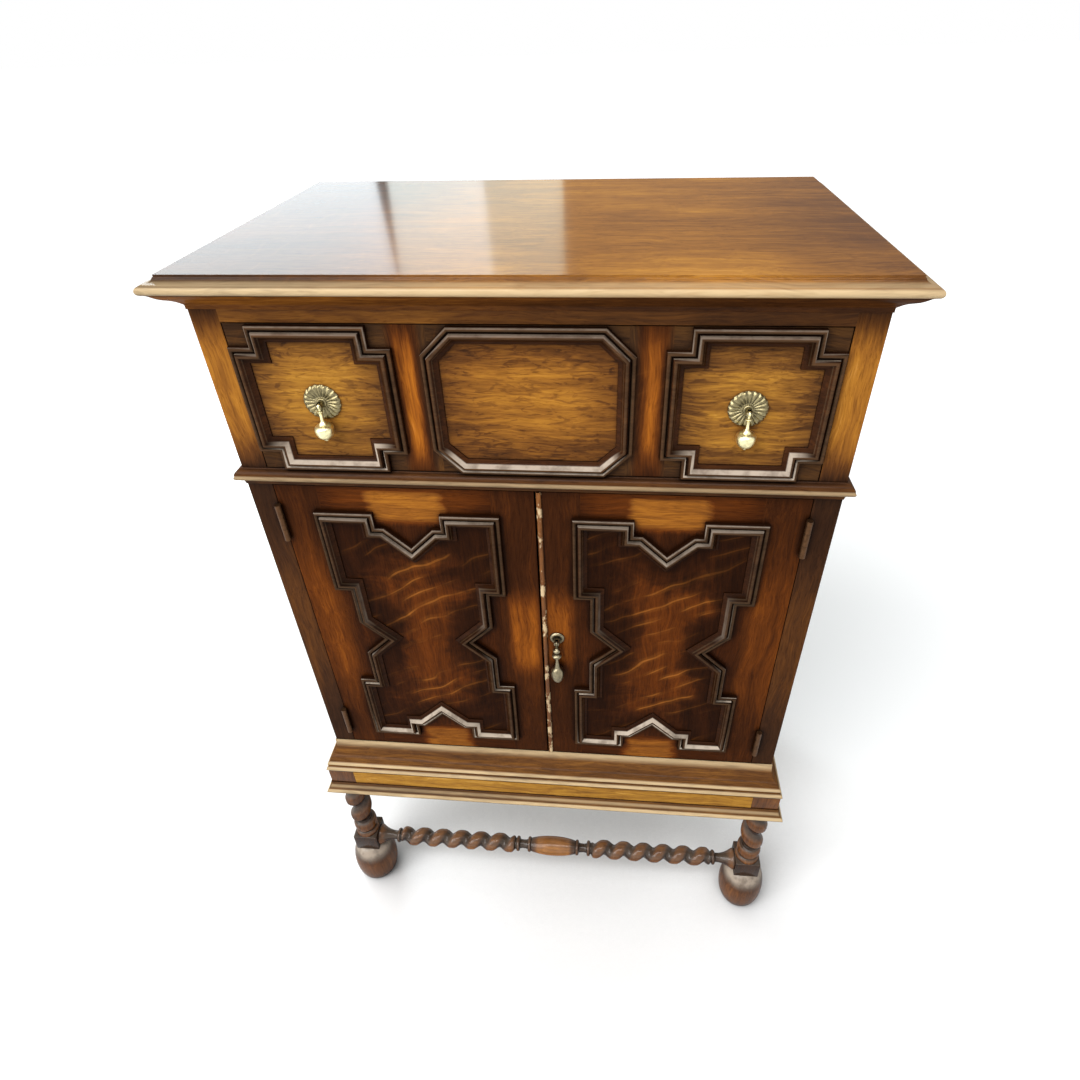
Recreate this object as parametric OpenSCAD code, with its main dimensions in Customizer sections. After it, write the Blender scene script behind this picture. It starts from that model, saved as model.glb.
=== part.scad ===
/* [Cabinet] */
// Width across the outer faces of the posts
body_w = 640; // [600:5:720]
// Depth from the front faces of the posts to the back
body_d = 398; // [360:2:440]
// Height of the legs, from the floor to the underside of the stand
leg_h = 266; // [250:1:300]
// Height of the stand's rails
stand_h = 49; // [44:1:60]
// Height of the base zone, from the top of the stand to the cupboard floor
base_h = 56; // [50:1:66]
// Height of the door opening
door_zone_h = 465; // [455:5:520]
// Thickness of the waist rail between the doors and the drawer
waist_h = 21; // [20:1:26]
// Height of the drawer opening
drawer_zone_h = 164; // [164:1:190]
// Height of the frieze rail above the drawer
frieze_h = 32; // [26:1:36]
// Thickness of the top board
top_t = 17; // [16:0.5:20]
// How far the top board stands out at the front and the ends
top_over = 27; // [24:1:32]

/* [Frame] */
// Width of the posts, seen from the front
post_w = 28; // [26:0.5:28]
// Depth of the posts, front to back
post_d = 32; // [30:1:40]
// Thickness of the front rails and the side rails
rail_t = 20; // [18:1:22]
// Depth of the waist rail, front to back
waist_d = 60; // [50:1:80]
// Height of the top side rails
side_top_h = 44; // [40:1:60]
// Height of the middle side rails
side_mid_h = 41; // [36:1:60]
// Height of the bottom side rails
side_low_h = 84; // [76:1:100]
// Thickness of the side panels
side_panel_t = 6; // [5:0.5:8]
// Depth of the grooves that hold the side panels
groove_d = 6; // [5:0.5:8]
// Thickness of the back panel
back_t = 6; // [4:0.5:8]
// Width of the rebate that the back panel sits in
back_lap = 20; // [14:1:22]
// Thickness of the cupboard floor
floor_t = 18; // [14:1:22]
// Thickness of the shelf
shelf_t = 14; // [12:1:18]
// Height of the shelf's top above the cupboard floor
shelf_up = 243; // [200:1:280]
// Width of the strips that carry the shelf and the drawer
strip_w = 28; // [20:1:32]
// Height of those strips
strip_h = 18; // [15:1:20]

/* [Stand] */
// Side of the square blocks of the legs
leg_sq = 39; // [36:1:44]
// How far the stand's rails stand out from the posts
stand_out = 18.5; // [16:0.5:20]
// Length of the tenons on the stand's rails
tenon_l = 14; // [10:1:15]
// Thickness of those tenons
tenon_t = 9; // [8:1:11]
// How far the base moulding stands out from the stand
base_out = 8.5; // [7:0.5:10]
// Height of the base moulding
base_mould_h = 22; // [20:1:24]
// Height of the bulb foot
foot_h = 86; // [80:1:92]
// Radius of the bulb foot at its widest
foot_r = 35.5; // [31:0.5:37]
// Radius of the foot where it stands on the floor
foot_base_r = 25; // [18:1:27]
// Height of the lower square block, where the stretcher joins
block_h = 36; // [36:1:40]
// Height of the turned rings above that block
ring_h = 38; // [34:1:42]
// Radius of the necks between the rings
neck_r = 12.8; // [11.6:0.2:13.4]
// Radius of the twist on the legs, over the ridges
twist_r = 18.5; // [16:0.5:19]
// Depth of the twist's groove on the legs
twist_cut = 8; // [5:0.5:9]
// Length of one full turn of the twist on the legs
twist_pitch = 46; // [36:1:60]
// Radius of the twist on the stretcher, over the ridges
rope_r = 14.5; // [12:0.5:16]
// Depth of the twist's groove on the stretcher
rope_cut = 6.5; // [4:0.5:7]
// Number of full turns in each twisted length of the stretcher
rope_turns = 6; // [4:1:7]
// Half the length of the stretcher's middle spindle
spindle_half = 37; // [30:1:50]
// Radius of the middle spindle at its widest
spindle_r = 15; // [12:0.5:17]
// Distance from the middle of the stretcher to the start of each twist
rope_from = 64; // [60:1:76]
// Distance from the leg block to the end of each twist
rope_end = 38; // [34:1:46]
// Height of the stretcher's axis above the floor
stretcher_z = 102; // [101:0.5:106]
// Radius of the pegs that hold the stretcher in the leg blocks
peg_r = 7; // [5:0.5:8]
// Length of those pegs
peg_l = 16; // [10:1:18]

/* [Drawer] */
// Thickness of the drawer front
front_t = 20; // [18:1:22]
// Gap above and below the drawer front
drawer_gap = 1; // [1:0.1:1.2]
// Gap at each side of the drawer
drawer_side_gap = 1.3; // [1:0.1:2]
// Thickness of the drawer sides and back
drawer_side_t = 10; // [9:0.5:12]
// Height of the drawer sides
drawer_side_h = 154; // [120:1:160]
// Length of the drawer sides behind the front
drawer_l = 345; // [300:5:350]
// Thickness of the drawer bottom
drawer_bottom_t = 5; // [4:0.5:6]
// Height of the drawer bottom above the runners
drawer_bottom_up = 9; // [8:1:12]
// Length of the dovetails into the drawer front
tail_l = 13; // [11:0.5:14]
// Number of dovetails at each front corner
tails = 4; // [3:1:5]
// Size of the square drawer mouldings, outside
square_size = 161; // [156:0.5:161.5]
// Depth of the steps at the corners of the square mouldings
square_step = 22; // [19:1:26]
// Width of the octagonal drawer moulding, outside
octagon_w = 205; // [190:1:212]
// Length cut from each corner of the octagonal moulding
octagon_cut = 28; // [20:1:36]
// Distance between the middles of the drawer's mouldings
moulding_pitch = 210; // [206:1:214]

/* [Doors] */
// Thickness of the doors
door_t = 20; // [18:1:21]
// Gap between a door and the rails above and below it
door_gap = 1.5; // [1:0.1:2.5]
// Gap between a door and its post
hinge_gap = 1; // [0.8:0.1:1.6]
// Gap between the two doors
meeting_gap = 2.2; // [2:0.1:3]
// Width of the door stiles and rails
stile_w = 48; // [40:1:56]
// Thickness of the door panels
door_panel_t = 9; // [7:0.5:11]
// Height of the veneered field inside each moulding
field_t = 0.8; // [0.5:0.1:1.2]
// Width of the door mouldings, outside
figure_w = 212; // [206:1:224]
// Height of the door mouldings, outside
figure_h = 401; // [396:1:408]
// How far the door figure sits below the middle of the door
figure_drop = 3; // [0:0.5:6]
// How far the door figure's sides step in at mid height
figure_waist = 20; // [18:1:24]
// Height of the step below the top of the door figure
figure_step_up = 118; // [110:1:126]
// Height of the step above the bottom of the door figure
figure_step_low = 118; // [110:1:126]
// Depth of every pointed notch in the door figure
figure_point = 28; // [24:1:30]
// Width of the mitred panel mouldings
mould_w = 17; // [14:0.5:18]
// Height of the mitred panel mouldings
mould_h = 9; // [7:0.5:11]
// Length of the hinges
hinge_l = 50; // [44:1:60]
// Distance from the end of a door to the middle of a hinge
hinge_inset = 50; // [40:1:70]
// Radius of the hinge knuckles
knuckle_r = 3.5; // [3:0.1:4]
// Radius of the hinge pins
pin_r = 1.5; // [1.2:0.1:1.8]
// Thickness of the hinge leaves
leaf_t = 1.5; // [1.2:0.1:1.8]
// How far the hinge leaves reach back into the wood
leaf_d = 16; // [13:1:18]

/* [Handles] */
// Radius of the drawer handle plates
plate_r = 19; // [17:0.5:21]
// Number of flutes round a drawer handle plate
flutes = 20; // [16:1:24]
// Length of the drawer drops, from the pivot to the tip
drop_l = 39; // [34:1:44]
// Largest radius of the drawer drops
drop_r = 9.6; // [8:0.2:10.6]
// Radius of the door handle plate
door_plate_r = 9.2; // [8:0.1:11]
// Length of the door drop, from the pivot to the tip
door_drop_l = 72; // [64:1:80]
// Largest radius of the door drop
door_drop_r = 8.5; // [7:0.5:9.5]
// Height of the door handle above the cupboard floor
door_handle_up = 240; // [200:1:280]
// Distance of the door handle from the middle of the cabinet
door_handle_x = 19; // [17:1:22]
// Radius of the pivot pins of the drops
pivot_r = 0.9; // [0.8:0.1:1.1]
// Clearance round the pivot pins and hinge pins
pin_play = 0.05; // [0.03:0.01:0.08]

/* [Hidden] */
$fn = 48;

// The carcass is as deep as its drawer needs, with this much room behind the drawer at the least
drawer_room = 12;
depth = max(body_d, front_t + drawer_l + drawer_room + back_t);

// Front and back planes of the posts, so that the whole stands centred over the origin
front_reach = max(top_over, stand_out - leg_sq / 2 + foot_r);
fy = (front_reach - depth) / 2;
by = fy + depth;

// Heights from the floor up
z_stand = leg_h + stand_h;
z_floor = z_stand + base_h;
z_waist = z_floor + door_zone_h;
z_drawer = z_waist + waist_h;
z_frieze = z_drawer + drawer_zone_h;
z_top = z_frieze + frieze_h;

// Widths
post_x = body_w / 2 - post_w;
rail_x = body_w / 2 - rail_t;
leg_x = body_w / 2 + stand_out - leg_sq / 2;
leg_front_y = fy - stand_out + leg_sq / 2;
leg_back_y = by - leg_sq / 2;

// Clearances
fit = 0.2;
seat = 0.3;
mitre_gap = 0.15;
cut = 1;

// Colours
oak = [0.34, 0.19, 0.09];
dark_oak = [0.22, 0.12, 0.07];
gold_oak = [0.58, 0.38, 0.14];
inner_oak = [0.55, 0.42, 0.27];
brass = [0.72, 0.62, 0.36];

// Points along an arc about (cx, cy)
function arc(cx, cy, r, from, to, n) =
    [for (i = [0:n]) [cx + r * cos(from + (to - from) * i / n), cy + r * sin(from + (to - from) * i / n)]];

// Points of a hollow cove from (x0, y0) up and in to (x1, y1)
function cove_in(x0, y0, x1, y1, n) =
    [for (i = [0:n]) [x1 + (x0 - x1) * (1 - sin(90 * i / n)), y0 + (y1 - y0) * (1 - cos(90 * i / n))]];

// Points of a hollow cove from (x0, y0) up and out to (x1, y1)
function cove_out(x0, y0, x1, y1, n) =
    [for (i = [0:n]) [x0 + (x1 - x0) * (1 - cos(90 * i / n)), y0 + (y1 - y0) * sin(90 * i / n)]];

// Sections of the straight mouldings, as [distance out, height] from the face that carries them
function bed_section(w, h) = concat([[0, 0], [1, 0], [1, 3.4]],
    [for (i = [0:12]) [1.3 + (w - 1.9) * i / 12, 4.4 + (h - 4.9) * i / 12 + 0.8 * sin(30 * i)]],
    [[w, h - 0.3], [w, h], [0, h]]);
function waist_section(h) = concat([[0, 0], [1, 0]], cove_out(1, 0.6, 7.6, 8.2, 6),
    arc(6.6, 10.8, 2.4, -50, 60, 5), [for (a = [10:14:80]) [0.8 + 7.2 * cos(a), 13.4 + (h - 14.4) * sin(a)]],
    [[0.8, h - 0.6], [0.8, h], [0, h]]);
function base_section(w, h) = concat([[0, 0], [w - 3.4, 0]], arc(w - 4.4, 4.8, 4.4, -75, 60, 8),
    [[w - 3, 9.6]], cove_in(w - 3.4, 10.4, 1.3, h - 1, 8), [[1.3, h], [0, h]]);
function cap_section(w, h) = concat([[0, 0], [w - 2.6, 0]], arc(w - 4, 4.9, 4, -70, 68, 8),
    [[w - 3.6, 9.4]], arc(w - 6.8, 14.6, 4, -55, 75, 8), [[w - 7.2, 19.6], [w - 7.2, 23.4], [w - 8.2, 24]],
    cove_in(w - 8.6, 26, 1.2, h - 1.6, 12), [[1.2, h], [0, h]]);
function top_edge(w, t) = concat([[w - 6, 0]], arc(w - 4.4, 5.4, 4.4, -75, 72, 8), [[w - 4.2, t - 6.8]],
    cove_in(w - 5.4, t - 6.4, w - 13, t - 2.2, 8), [[w - 13.8, t - 2], [w - 13.8, t]]);

// Section of the mitred panel mouldings: a bead outside, a quirk and a broad ovolo that falls inwards
function panel_section(w, h) = concat([[0, 0], [0, h * 0.42]], arc(2.4, h * 0.46, 2.2, 170, 10, 6),
    [[5.2, h * 0.34], [6.2, h * 0.34]], arc(8.8, h - 2.6, 2.6, 180, 62, 5),
    [[w * 0.72, h * 0.56], [w * 0.86, h * 0.3], [w, h * 0.22], [w, 0]]);

function flip(points) = [for (i = [len(points) - 1:-1:0]) [-points[i][0], points[i][1]]];
function unit(v) = v / norm(v);
function at_index(list, i) = list[(i + len(list)) % len(list)];
// Direction in which a mitre runs inwards at corner i of a closed path that turns clockwise
function mitre(path, i) = let(a = unit(path[i] - at_index(path, i - 1)), b = unit(at_index(path, i + 1) - path[i]),
    na = [a[1], -a[0]], nb = [b[1], -b[0]]) (na + nb) / (1 + na * nb);
function inset(path, u) = [for (i = [0:len(path) - 1]) path[i] + u * mitre(path, i)];

// Outline of a square with stepped corners, clockwise
function stepped_square(s, step) = let(a = s / 2, b = s / 2 - step)
    [[-b, a], [b, a], [b, b], [a, b], [a, -b], [b, -b], [b, -a], [-b, -a], [-b, -b], [-a, -b], [-a, b], [-b, b]];
// Outline of a rectangle with cut corners, clockwise
function cut_rectangle(w, h, c) = let(a = w / 2, b = h / 2)
    [[-a + c, b], [a - c, b], [a, b - c], [a, -b + c], [a - c, -b], [-a + c, -b], [-a, -b + c], [-a, b - c]];

// Outline of the door figure, clockwise: stepped shoulders, and a point in each of its four sides
shoulder = 38;
shoulder_drop = 20;
shoulder_rise = 22;
function right_half(w, h, waist, up, low, p) = let(a = w / 2, b = h / 2, c = b - shoulder_drop, d = shoulder_rise - b)
    [[0, c - p], [p, c], [shoulder, c], [shoulder, b], [a, b], [a, b - up], [a - waist, b - up],
     [a - waist, p], [a - waist - p, 0], [a - waist, -p], [a - waist, low - b], [a, low - b], [a, -b],
     [shoulder, -b], [shoulder, d], [p, d], [0, d + p]];
function door_figure(w, h, waist, up, low, p) = let(right = right_half(w, h, waist, up, low, p))
    concat(right, [for (i = [len(right) - 2:-1:1]) [-right[i][0], right[i][1]]]);

// A moulding swept round a closed clockwise path in the front plane, with a true mitre at each corner
module mitred_frame(path, section) {
    n = len(path);
    m = len(section);
    rings = [for (p = section) let(line = inset(path, p[0])) [for (q = line) [q[0], -p[1], q[1]]]];
    points = [for (i = [0:n - 1]) for (j = [0:m - 1]) rings[j][i]];
    faces = [for (i = [0:n - 1]) for (j = [0:m - 1]) let(k = (i + 1) % n, l = (j + 1) % m)
        [i * m + j, k * m + j, k * m + l, i * m + l]];
    polyhedron(points, faces, convexity = 10);
}

// A straight moulding round the front and both ends, mitred at the corners.
// w and front give the carrying faces, section the profile, reach the most that it stands out
module mitred_return(w, front, back, z, section, reach) {
    a = w / 2;
    b = a - mitre_gap;
    translate([0, 0, z]) {
        intersection() {
            translate([-a - reach, front, 0]) rotate([90, 0, 90]) linear_extrude(w + 2 * reach) polygon(flip(section));
            linear_extrude(base_h) polygon([[-b, front], [b, front], [b + reach, front - reach], [-b - reach, front - reach]]);
        }
        for (side = [0, 1]) mirror([side, 0, 0]) intersection() {
            translate([a, back, 0]) rotate([90, 0, 0]) linear_extrude(back - front + reach) polygon(section);
            linear_extrude(base_h) polygon([[a, front], [a + reach, front - reach], [a + reach, back], [a, back]]);
        }
    }
}

module both_sides() {
    for (side = [0, 1]) mirror([side, 0, 0]) children();
}

module box(x0, x1, y0, y1, z0, z1) {
    translate([x0, y0, z0]) cube([x1 - x0, y1 - y0, z1 - z0]);
}

// Carcass

module top_board() {
    color(oak) translate([0, 0, z_top]) intersection() {
        edge = top_edge(top_over, top_t);
        a = body_w / 2;
        translate([0, by, 0]) rotate([90, 0, 0]) linear_extrude(depth + top_over)
            polygon(concat([for (p = edge) [a + p[0], p[1]]], [for (i = [len(edge) - 1:-1:0]) [-a - edge[i][0], edge[i][1]]]));
        translate([-a - top_over, 0, 0]) rotate([90, 0, 90]) linear_extrude(body_w + 2 * top_over)
            polygon(concat([[by, 0], [by, top_t]], [for (i = [len(edge) - 1:-1:0]) [fy - edge[i][0], edge[i][1]]]));
    }
}

bed_h = 19;
bed_out = 21;
module bed_moulding() {
    color(dark_oak) mitred_return(body_w, fy, by, z_top - bed_h, bed_section(bed_out, bed_h), bed_out);
}

waist_out = 9;
module waist_moulding() {
    color(dark_oak) mitred_return(body_w, fy, by, z_waist, waist_section(waist_h), waist_out);
}

// Slots for the edge of a side panel and for the stub tenons of the side rails
slot_x = body_w / 2 - rail_t / 2 - side_panel_t / 2;
module side_slot(y0, y1) {
    box(slot_x, slot_x + side_panel_t, y0, y1, z_stand, z_top);
}

// Recesses for the hinge leaves, at the edge of the opening
hinge_x = post_x - hinge_gap / 2;
hinge_y = fy - knuckle_r - seat;
module hinge_places() {
    for (z = [z_floor + door_gap + hinge_inset, z_waist - door_gap - hinge_inset])
        translate([0, 0, z - hinge_l / 2]) children();
}

module front_post() {
    difference() {
        box(post_x, body_w / 2, fy, fy + post_d, z_stand, z_top);
        side_slot(fy + post_d - groove_d, fy + post_d + cut);
        hinge_places() box(post_x - cut, post_x + leaf_t, fy - cut, fy + leaf_d, 0, hinge_l);
    }
}

module left_front_post() {
    color(oak) mirror([1, 0, 0]) front_post();
}

module right_front_post() {
    color(oak) front_post();
}

module back_post() {
    difference() {
        box(post_x, body_w / 2, by - post_d, by, z_stand, z_top);
        side_slot(by - post_d - cut, by - post_d + groove_d);
        box(post_x - cut, post_x + back_lap, by - back_t, by + cut, z_stand - cut, z_top + cut);
    }
}

module left_back_post() {
    color(oak) mirror([1, 0, 0]) back_post();
}

module right_back_post() {
    color(oak) back_post();
}

// One side rail with a stub tenon at each end and a groove on the edges that hold a panel
module side_rail(z0, z1, groove_low, groove_top) {
    difference() {
        union() {
            box(rail_x, body_w / 2, fy + post_d, by - post_d, z0, z1);
            box(slot_x, slot_x + side_panel_t, fy + post_d - groove_d + fit, by - post_d + groove_d - fit, z0, z1);
        }
        if (groove_low) box(slot_x, slot_x + side_panel_t, fy, by, z0 - cut, z0 + groove_d);
        if (groove_top) box(slot_x, slot_x + side_panel_t, fy, by, z1 - groove_d, z1 + cut);
    }
}

z_side_low = z_stand + side_low_h;
z_side_mid = z_waist + waist_h / 2 - side_mid_h / 2;
z_side_top = z_top - side_top_h;

module side_rails() {
    color(oak) both_sides() {
        side_rail(z_stand, z_side_low, false, true);
        side_rail(z_side_mid, z_side_mid + side_mid_h, true, true);
        side_rail(z_side_top, z_top, true, false);
    }
}

module side_panel(z0, z1) {
    box(slot_x + fit / 4, slot_x + side_panel_t - fit / 4, fy + post_d - groove_d + fit, by - post_d + groove_d - fit,
        z0 - groove_d + fit, z1 + groove_d - fit);
}

module side_panels() {
    color(oak) both_sides() {
        side_panel(z_side_low, z_side_mid);
        side_panel(z_side_mid + side_mid_h, z_side_top);
    }
}

module back_panel() {
    color(inner_oak) box(-post_x - back_lap, post_x + back_lap, by - back_t, by, z_stand, z_top);
}

module frieze_rail() {
    color(oak) box(-post_x, post_x, fy, fy + rail_t, z_frieze, z_top);
}

module back_top_rail() {
    color(inner_oak) box(-post_x, post_x, by - back_t - rail_t, by - back_t, z_frieze, z_top);
}

module waist_rail() {
    color(oak) box(-post_x, post_x, fy, fy + waist_d, z_waist, z_drawer);
}

module bottom_rail() {
    color(oak) box(-post_x, post_x, fy, fy + rail_t, z_stand, z_floor);
}

// A board between the side rails, notched round the posts
module notched_board(z0, t, y0, y1, play) {
    difference() {
        box(-rail_x + play, rail_x - play, y0, y1, z0, z0 + t);
        both_sides() {
            box(post_x - play, rail_x + cut, fy - cut, fy + post_d + play, z0 - cut, z0 + t + cut);
            box(post_x - play, rail_x + cut, by - post_d - play, by + cut, z0 - cut, z0 + t + cut);
        }
    }
}

module bottom_board() {
    color(inner_oak) notched_board(z_floor - floor_t, floor_t, fy + rail_t, by - back_t, 0);
}

z_shelf = z_floor + shelf_up;
shelf_back = 30;
module shelf() {
    color(inner_oak) notched_board(z_shelf - shelf_t, shelf_t, fy + door_t + shelf_back, by - back_t - 1, 0.5);
}

bearer_w = 14;
module shelf_bearers() {
    color(inner_oak) both_sides()
        box(post_x - bearer_w, post_x, fy + door_t + 2, by - back_t, z_shelf - shelf_t - strip_h, z_shelf - shelf_t);
}

stop_h = 12;
module door_stop() {
    color(inner_oak) difference() {
        box(-post_x, post_x, fy + door_t + 0.5, fy + door_t + 0.5 + 12, z_waist - stop_h, z_waist);
        translate([-bolt_x, bolt_y, z_waist - stop_h - cut]) cylinder(r = bolt_r + 2 * fit, h = stop_h + 2 * cut);
    }
}

// Runner with a guide that keeps the drawer straight between the posts
guide_x = post_x - drawer_side_gap + 0.5;
guide_h = 20;
module drawer_runners() {
    color(inner_oak) both_sides() {
        box(post_x - strip_w, post_x, fy + waist_d, by - back_t, z_drawer - strip_h, z_drawer);
        box(guide_x, rail_x, fy + post_d, by - post_d, z_drawer, z_drawer + guide_h);
        box(post_x, rail_x, fy + post_d, by - post_d, z_drawer - strip_h, z_drawer);
    }
}

module drawer_kickers() {
    color(inner_oak) both_sides()
        box(post_x - strip_w, post_x, fy + rail_t, by - back_t - rail_t, z_frieze, z_frieze + strip_h);
}

stop_block = [40, 12, 6];
stop_block_x = 120;
module drawer_stops() {
    color(inner_oak) both_sides()
        translate([stop_block_x, fy + front_t + seat, z_drawer]) cube(stop_block);
}

// Stand

plinth_t = rail_t;
tenon_h = stand_h - 12;
module plinth_front() {
    color(gold_oak) {
        box(-leg_x + leg_sq / 2, leg_x - leg_sq / 2, fy - stand_out, fy - stand_out + plinth_t, leg_h, z_stand);
        box(-leg_x + leg_sq / 2 - tenon_l, leg_x - leg_sq / 2 + tenon_l, fy - stand_out + plinth_t / 2 - tenon_t / 2,
            fy - stand_out + plinth_t / 2 + tenon_t / 2, leg_h + 6, leg_h + 6 + tenon_h);
    }
}

module plinth_sides() {
    x1 = body_w / 2 + stand_out;
    color(gold_oak) both_sides() {
        box(x1 - plinth_t, x1, leg_front_y + leg_sq / 2, leg_back_y - leg_sq / 2, leg_h, z_stand);
        box(x1 - plinth_t / 2 - tenon_t / 2, x1 - plinth_t / 2 + tenon_t / 2, leg_front_y + leg_sq / 2 - tenon_l,
            leg_back_y - leg_sq / 2 + tenon_l, leg_h + 6, leg_h + 6 + tenon_h);
    }
}

module plinth_back() {
    color(inner_oak) {
        box(-leg_x + leg_sq / 2, leg_x - leg_sq / 2, by - plinth_t, by, leg_h, z_stand);
        box(-leg_x + leg_sq / 2 - tenon_l, leg_x - leg_sq / 2 + tenon_l, by - plinth_t / 2 - tenon_t / 2,
            by - plinth_t / 2 + tenon_t / 2, leg_h + 6, leg_h + 6 + tenon_h);
    }
}

cap_over = 1.5;
module plinth_cap_moulding() {
    color(dark_oak) mitred_return(body_w, fy, by, z_stand, cap_section(stand_out + cap_over, base_h), stand_out + cap_over);
}

module plinth_base_moulding() {
    color(dark_oak) mitred_return(body_w + 2 * stand_out, fy - stand_out, by, leg_h,
        base_section(base_out, base_mould_h), base_out);
}

// Square top block of a leg with the mortises for two rails, at the leg's own axis.
// The rails come in from the +x and +y sides, and their outer faces lie flush with the block
module leg_top() {
    h = leg_sq / 2;
    m = plinth_t / 2;
    translate([0, 0, leg_h]) difference() {
        translate([-h, -h, 0]) cube([leg_sq, leg_sq, stand_h]);
        translate([h - tenon_l, -h + m - tenon_t / 2, 6]) cube([tenon_l + cut, tenon_t, tenon_h]);
        translate([-h + m - tenon_t / 2, h - tenon_l, 6]) cube([tenon_t, tenon_l + cut, tenon_h]);
    }
}

// A rod cut with one spiral groove, along +z from 0 to length. Its ridge starts from a neck at each end
module twisted_rod(length, r, depth, pitch, hand, phase, sides, per_turn) {
    steps = ceil(length / pitch * per_turn);
    function shoulder_at(z) = let(t = min(1, z / (pitch * 0.2))) sqrt(1 - (1 - t) * (1 - t));
    function groove(a) = pow((1 - cos(a)) / 2, 1.7);
    points = [for (i = [0:steps]) let(z = length * i / steps) for (j = [0:sides - 1])
        let(a = 360 * j / sides, ridge = r - depth * groove(a - hand * 360 * (z + phase) / pitch),
            rr = r - depth - 0.2 + (ridge - r + depth + 0.2) * shoulder_at(z) * shoulder_at(length - z))
        [rr * cos(a), rr * sin(a), z]];
    side_faces = [for (i = [0:steps - 1]) for (j = [0:sides - 1]) let(k = (j + 1) % sides)
        for (t = [[i * sides + j, (i + 1) * sides + k, i * sides + k], [i * sides + j, (i + 1) * sides + j, (i + 1) * sides + k]]) t];
    low = [[for (j = [0:sides - 1]) j]];
    high = [[for (j = [sides - 1:-1:0]) steps * sides + j]];
    polyhedron(points, concat(side_faces, low, high), convexity = 6);
}

// Profile of the bulb foot, bottom to top
foot_mid = 38;
function foot_profile() = concat([[0, 0], [foot_base_r, 0]],
    [for (i = [1:7]) [foot_base_r + (foot_r - foot_base_r) * sin(90 * i / 7), foot_mid * (1 - cos(90 * i / 7))]],
    [for (i = [1:7]) [leg_sq / 2 - 2 + (foot_r - leg_sq / 2 + 2) * cos(90 * i / 7), foot_mid + (foot_h - foot_mid) * sin(90 * i / 7)]],
    [[0, foot_h]]);

ring_z = foot_h + block_h;
twist_z = ring_z + ring_h;
// Turned rings between the lower block and the twist
function ring_profile() = let(k = ring_h / 38, n = neck_r) concat([[0, 0], [leg_sq / 2 - 0.6, 0]],
    [for (i = [1:6]) [n + 0.6 + (leg_sq / 2 - n - 1.2) * cos(15 * i), 8 * k * sin(15 * i)]],
    [[n, 8.4 * k], [n, 11 * k], [n + 1.4, 11.4 * k]],
    [for (i = [0:10]) [n + (twist_r - n) * sin(18 + 14.4 * i), (22 - 10.4 * cos(18 * i)) * k]],
    [[n + 0.6, 33.2 * k], [n, 34.4 * k], [n, ring_h + 0.25], [0, ring_h + 0.25]]);

module front_leg(hand) {
    h = leg_sq / 2;
    twist_l = leg_h - 6 - twist_z;
    difference() {
        union() {
            rotate_extrude() polygon(foot_profile());
            translate([-h, -h, foot_h]) cube([leg_sq, leg_sq, block_h]);
            translate([0, 0, ring_z]) rotate_extrude() polygon(ring_profile());
            translate([0, 0, twist_z]) twisted_rod(twist_l, twist_r, twist_cut, twist_pitch, hand, twist_pitch * 0.32, 26, 14);
            translate([0, 0, leg_h - 6.25]) cylinder(r = twist_r, h = 6.25);
            leg_top();
        }
        translate([h - peg_l, 0, stretcher_z]) rotate([0, 90, 0]) cylinder(r = peg_r + 0.02, h = peg_l + cut);
    }
}

module left_front_leg() {
    color(oak) translate([-leg_x, leg_front_y, 0]) front_leg(1);
}

module right_front_leg() {
    color(oak) translate([leg_x, leg_front_y, 0]) mirror([1, 0, 0]) front_leg(1);
}

// Plain square back leg with chamfered corners below the stand
chamfer = 4;
module back_leg() {
    h = leg_sq / 2;
    leg_top();
    linear_extrude(leg_h) polygon(cut_rectangle(leg_sq, leg_sq, chamfer));
}

module left_back_leg() {
    color(oak) translate([-leg_x, leg_back_y, 0]) mirror([0, 1, 0]) back_leg();
}

module right_back_leg() {
    color(oak) translate([leg_x, leg_back_y, 0]) rotate([0, 0, 180]) back_leg();
}

// The stretcher's middle spindle with its beads, and the trumpet that meets the leg block
reach_x = leg_x - leg_sq / 2;
rope_to = reach_x - rope_end;
function half_spindle() = concat([for (i = [0:8]) [spindle_r - (spindle_r - 10.4) * pow(i / 8, 2.2), spindle_half * i / 8]],
    [[8.6, spindle_half + 0.6]], arc(9.2, spindle_half + 3.2, 2.9, -60, 60, 5), [[8, spindle_half + 6.4]],
    [[7, spindle_half + 9], [6.6, rope_from - 12], [7.4, rope_from - 8]], arc(9, rope_from - 4.6, 3, -60, 60, 5),
    [[8.8, rope_from - 1.4], [8.8, rope_from + 0.25], [0, rope_from + 0.25]]);
function spindle_profile() = let(half = half_spindle())
    concat([for (i = [len(half) - 1:-1:1]) [half[i][0], -half[i][1]]], half);
function flare_profile() = concat([[0, -0.25], [8.8, -0.25], [8.8, 1]], arc(8.6, 4, 2.8, -60, 60, 5),
    [[7, 8]], [for (i = [0:8]) [7 + (leg_sq / 2 - 10.5) * pow(i / 8, 2), 10 + (rope_end - 13) * i / 8]],
    [[leg_sq / 2 - 3.5, rope_end - 1.6], [leg_sq / 2 - 3.8, rope_end], [0, rope_end]]);

module half_stretcher(hand) {
    rope_l = rope_to - rope_from;
    translate([0, 0, rope_from]) twisted_rod(rope_l, rope_r, rope_cut, rope_l / rope_turns, hand, 0, 18, 11);
    translate([0, 0, rope_to]) rotate_extrude() polygon(flare_profile());
    translate([0, 0, reach_x - cut]) cylinder(r = peg_r, h = peg_l + cut - fit);
}

module front_stretcher() {
    color(oak) translate([0, leg_front_y, stretcher_z]) {
        rotate([0, 90, 0]) rotate_extrude() polygon(spindle_profile());
        rotate([0, 90, 0]) half_stretcher(-1);
        rotate([0, -90, 0]) half_stretcher(-1);
    }
}

// Hinges

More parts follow.
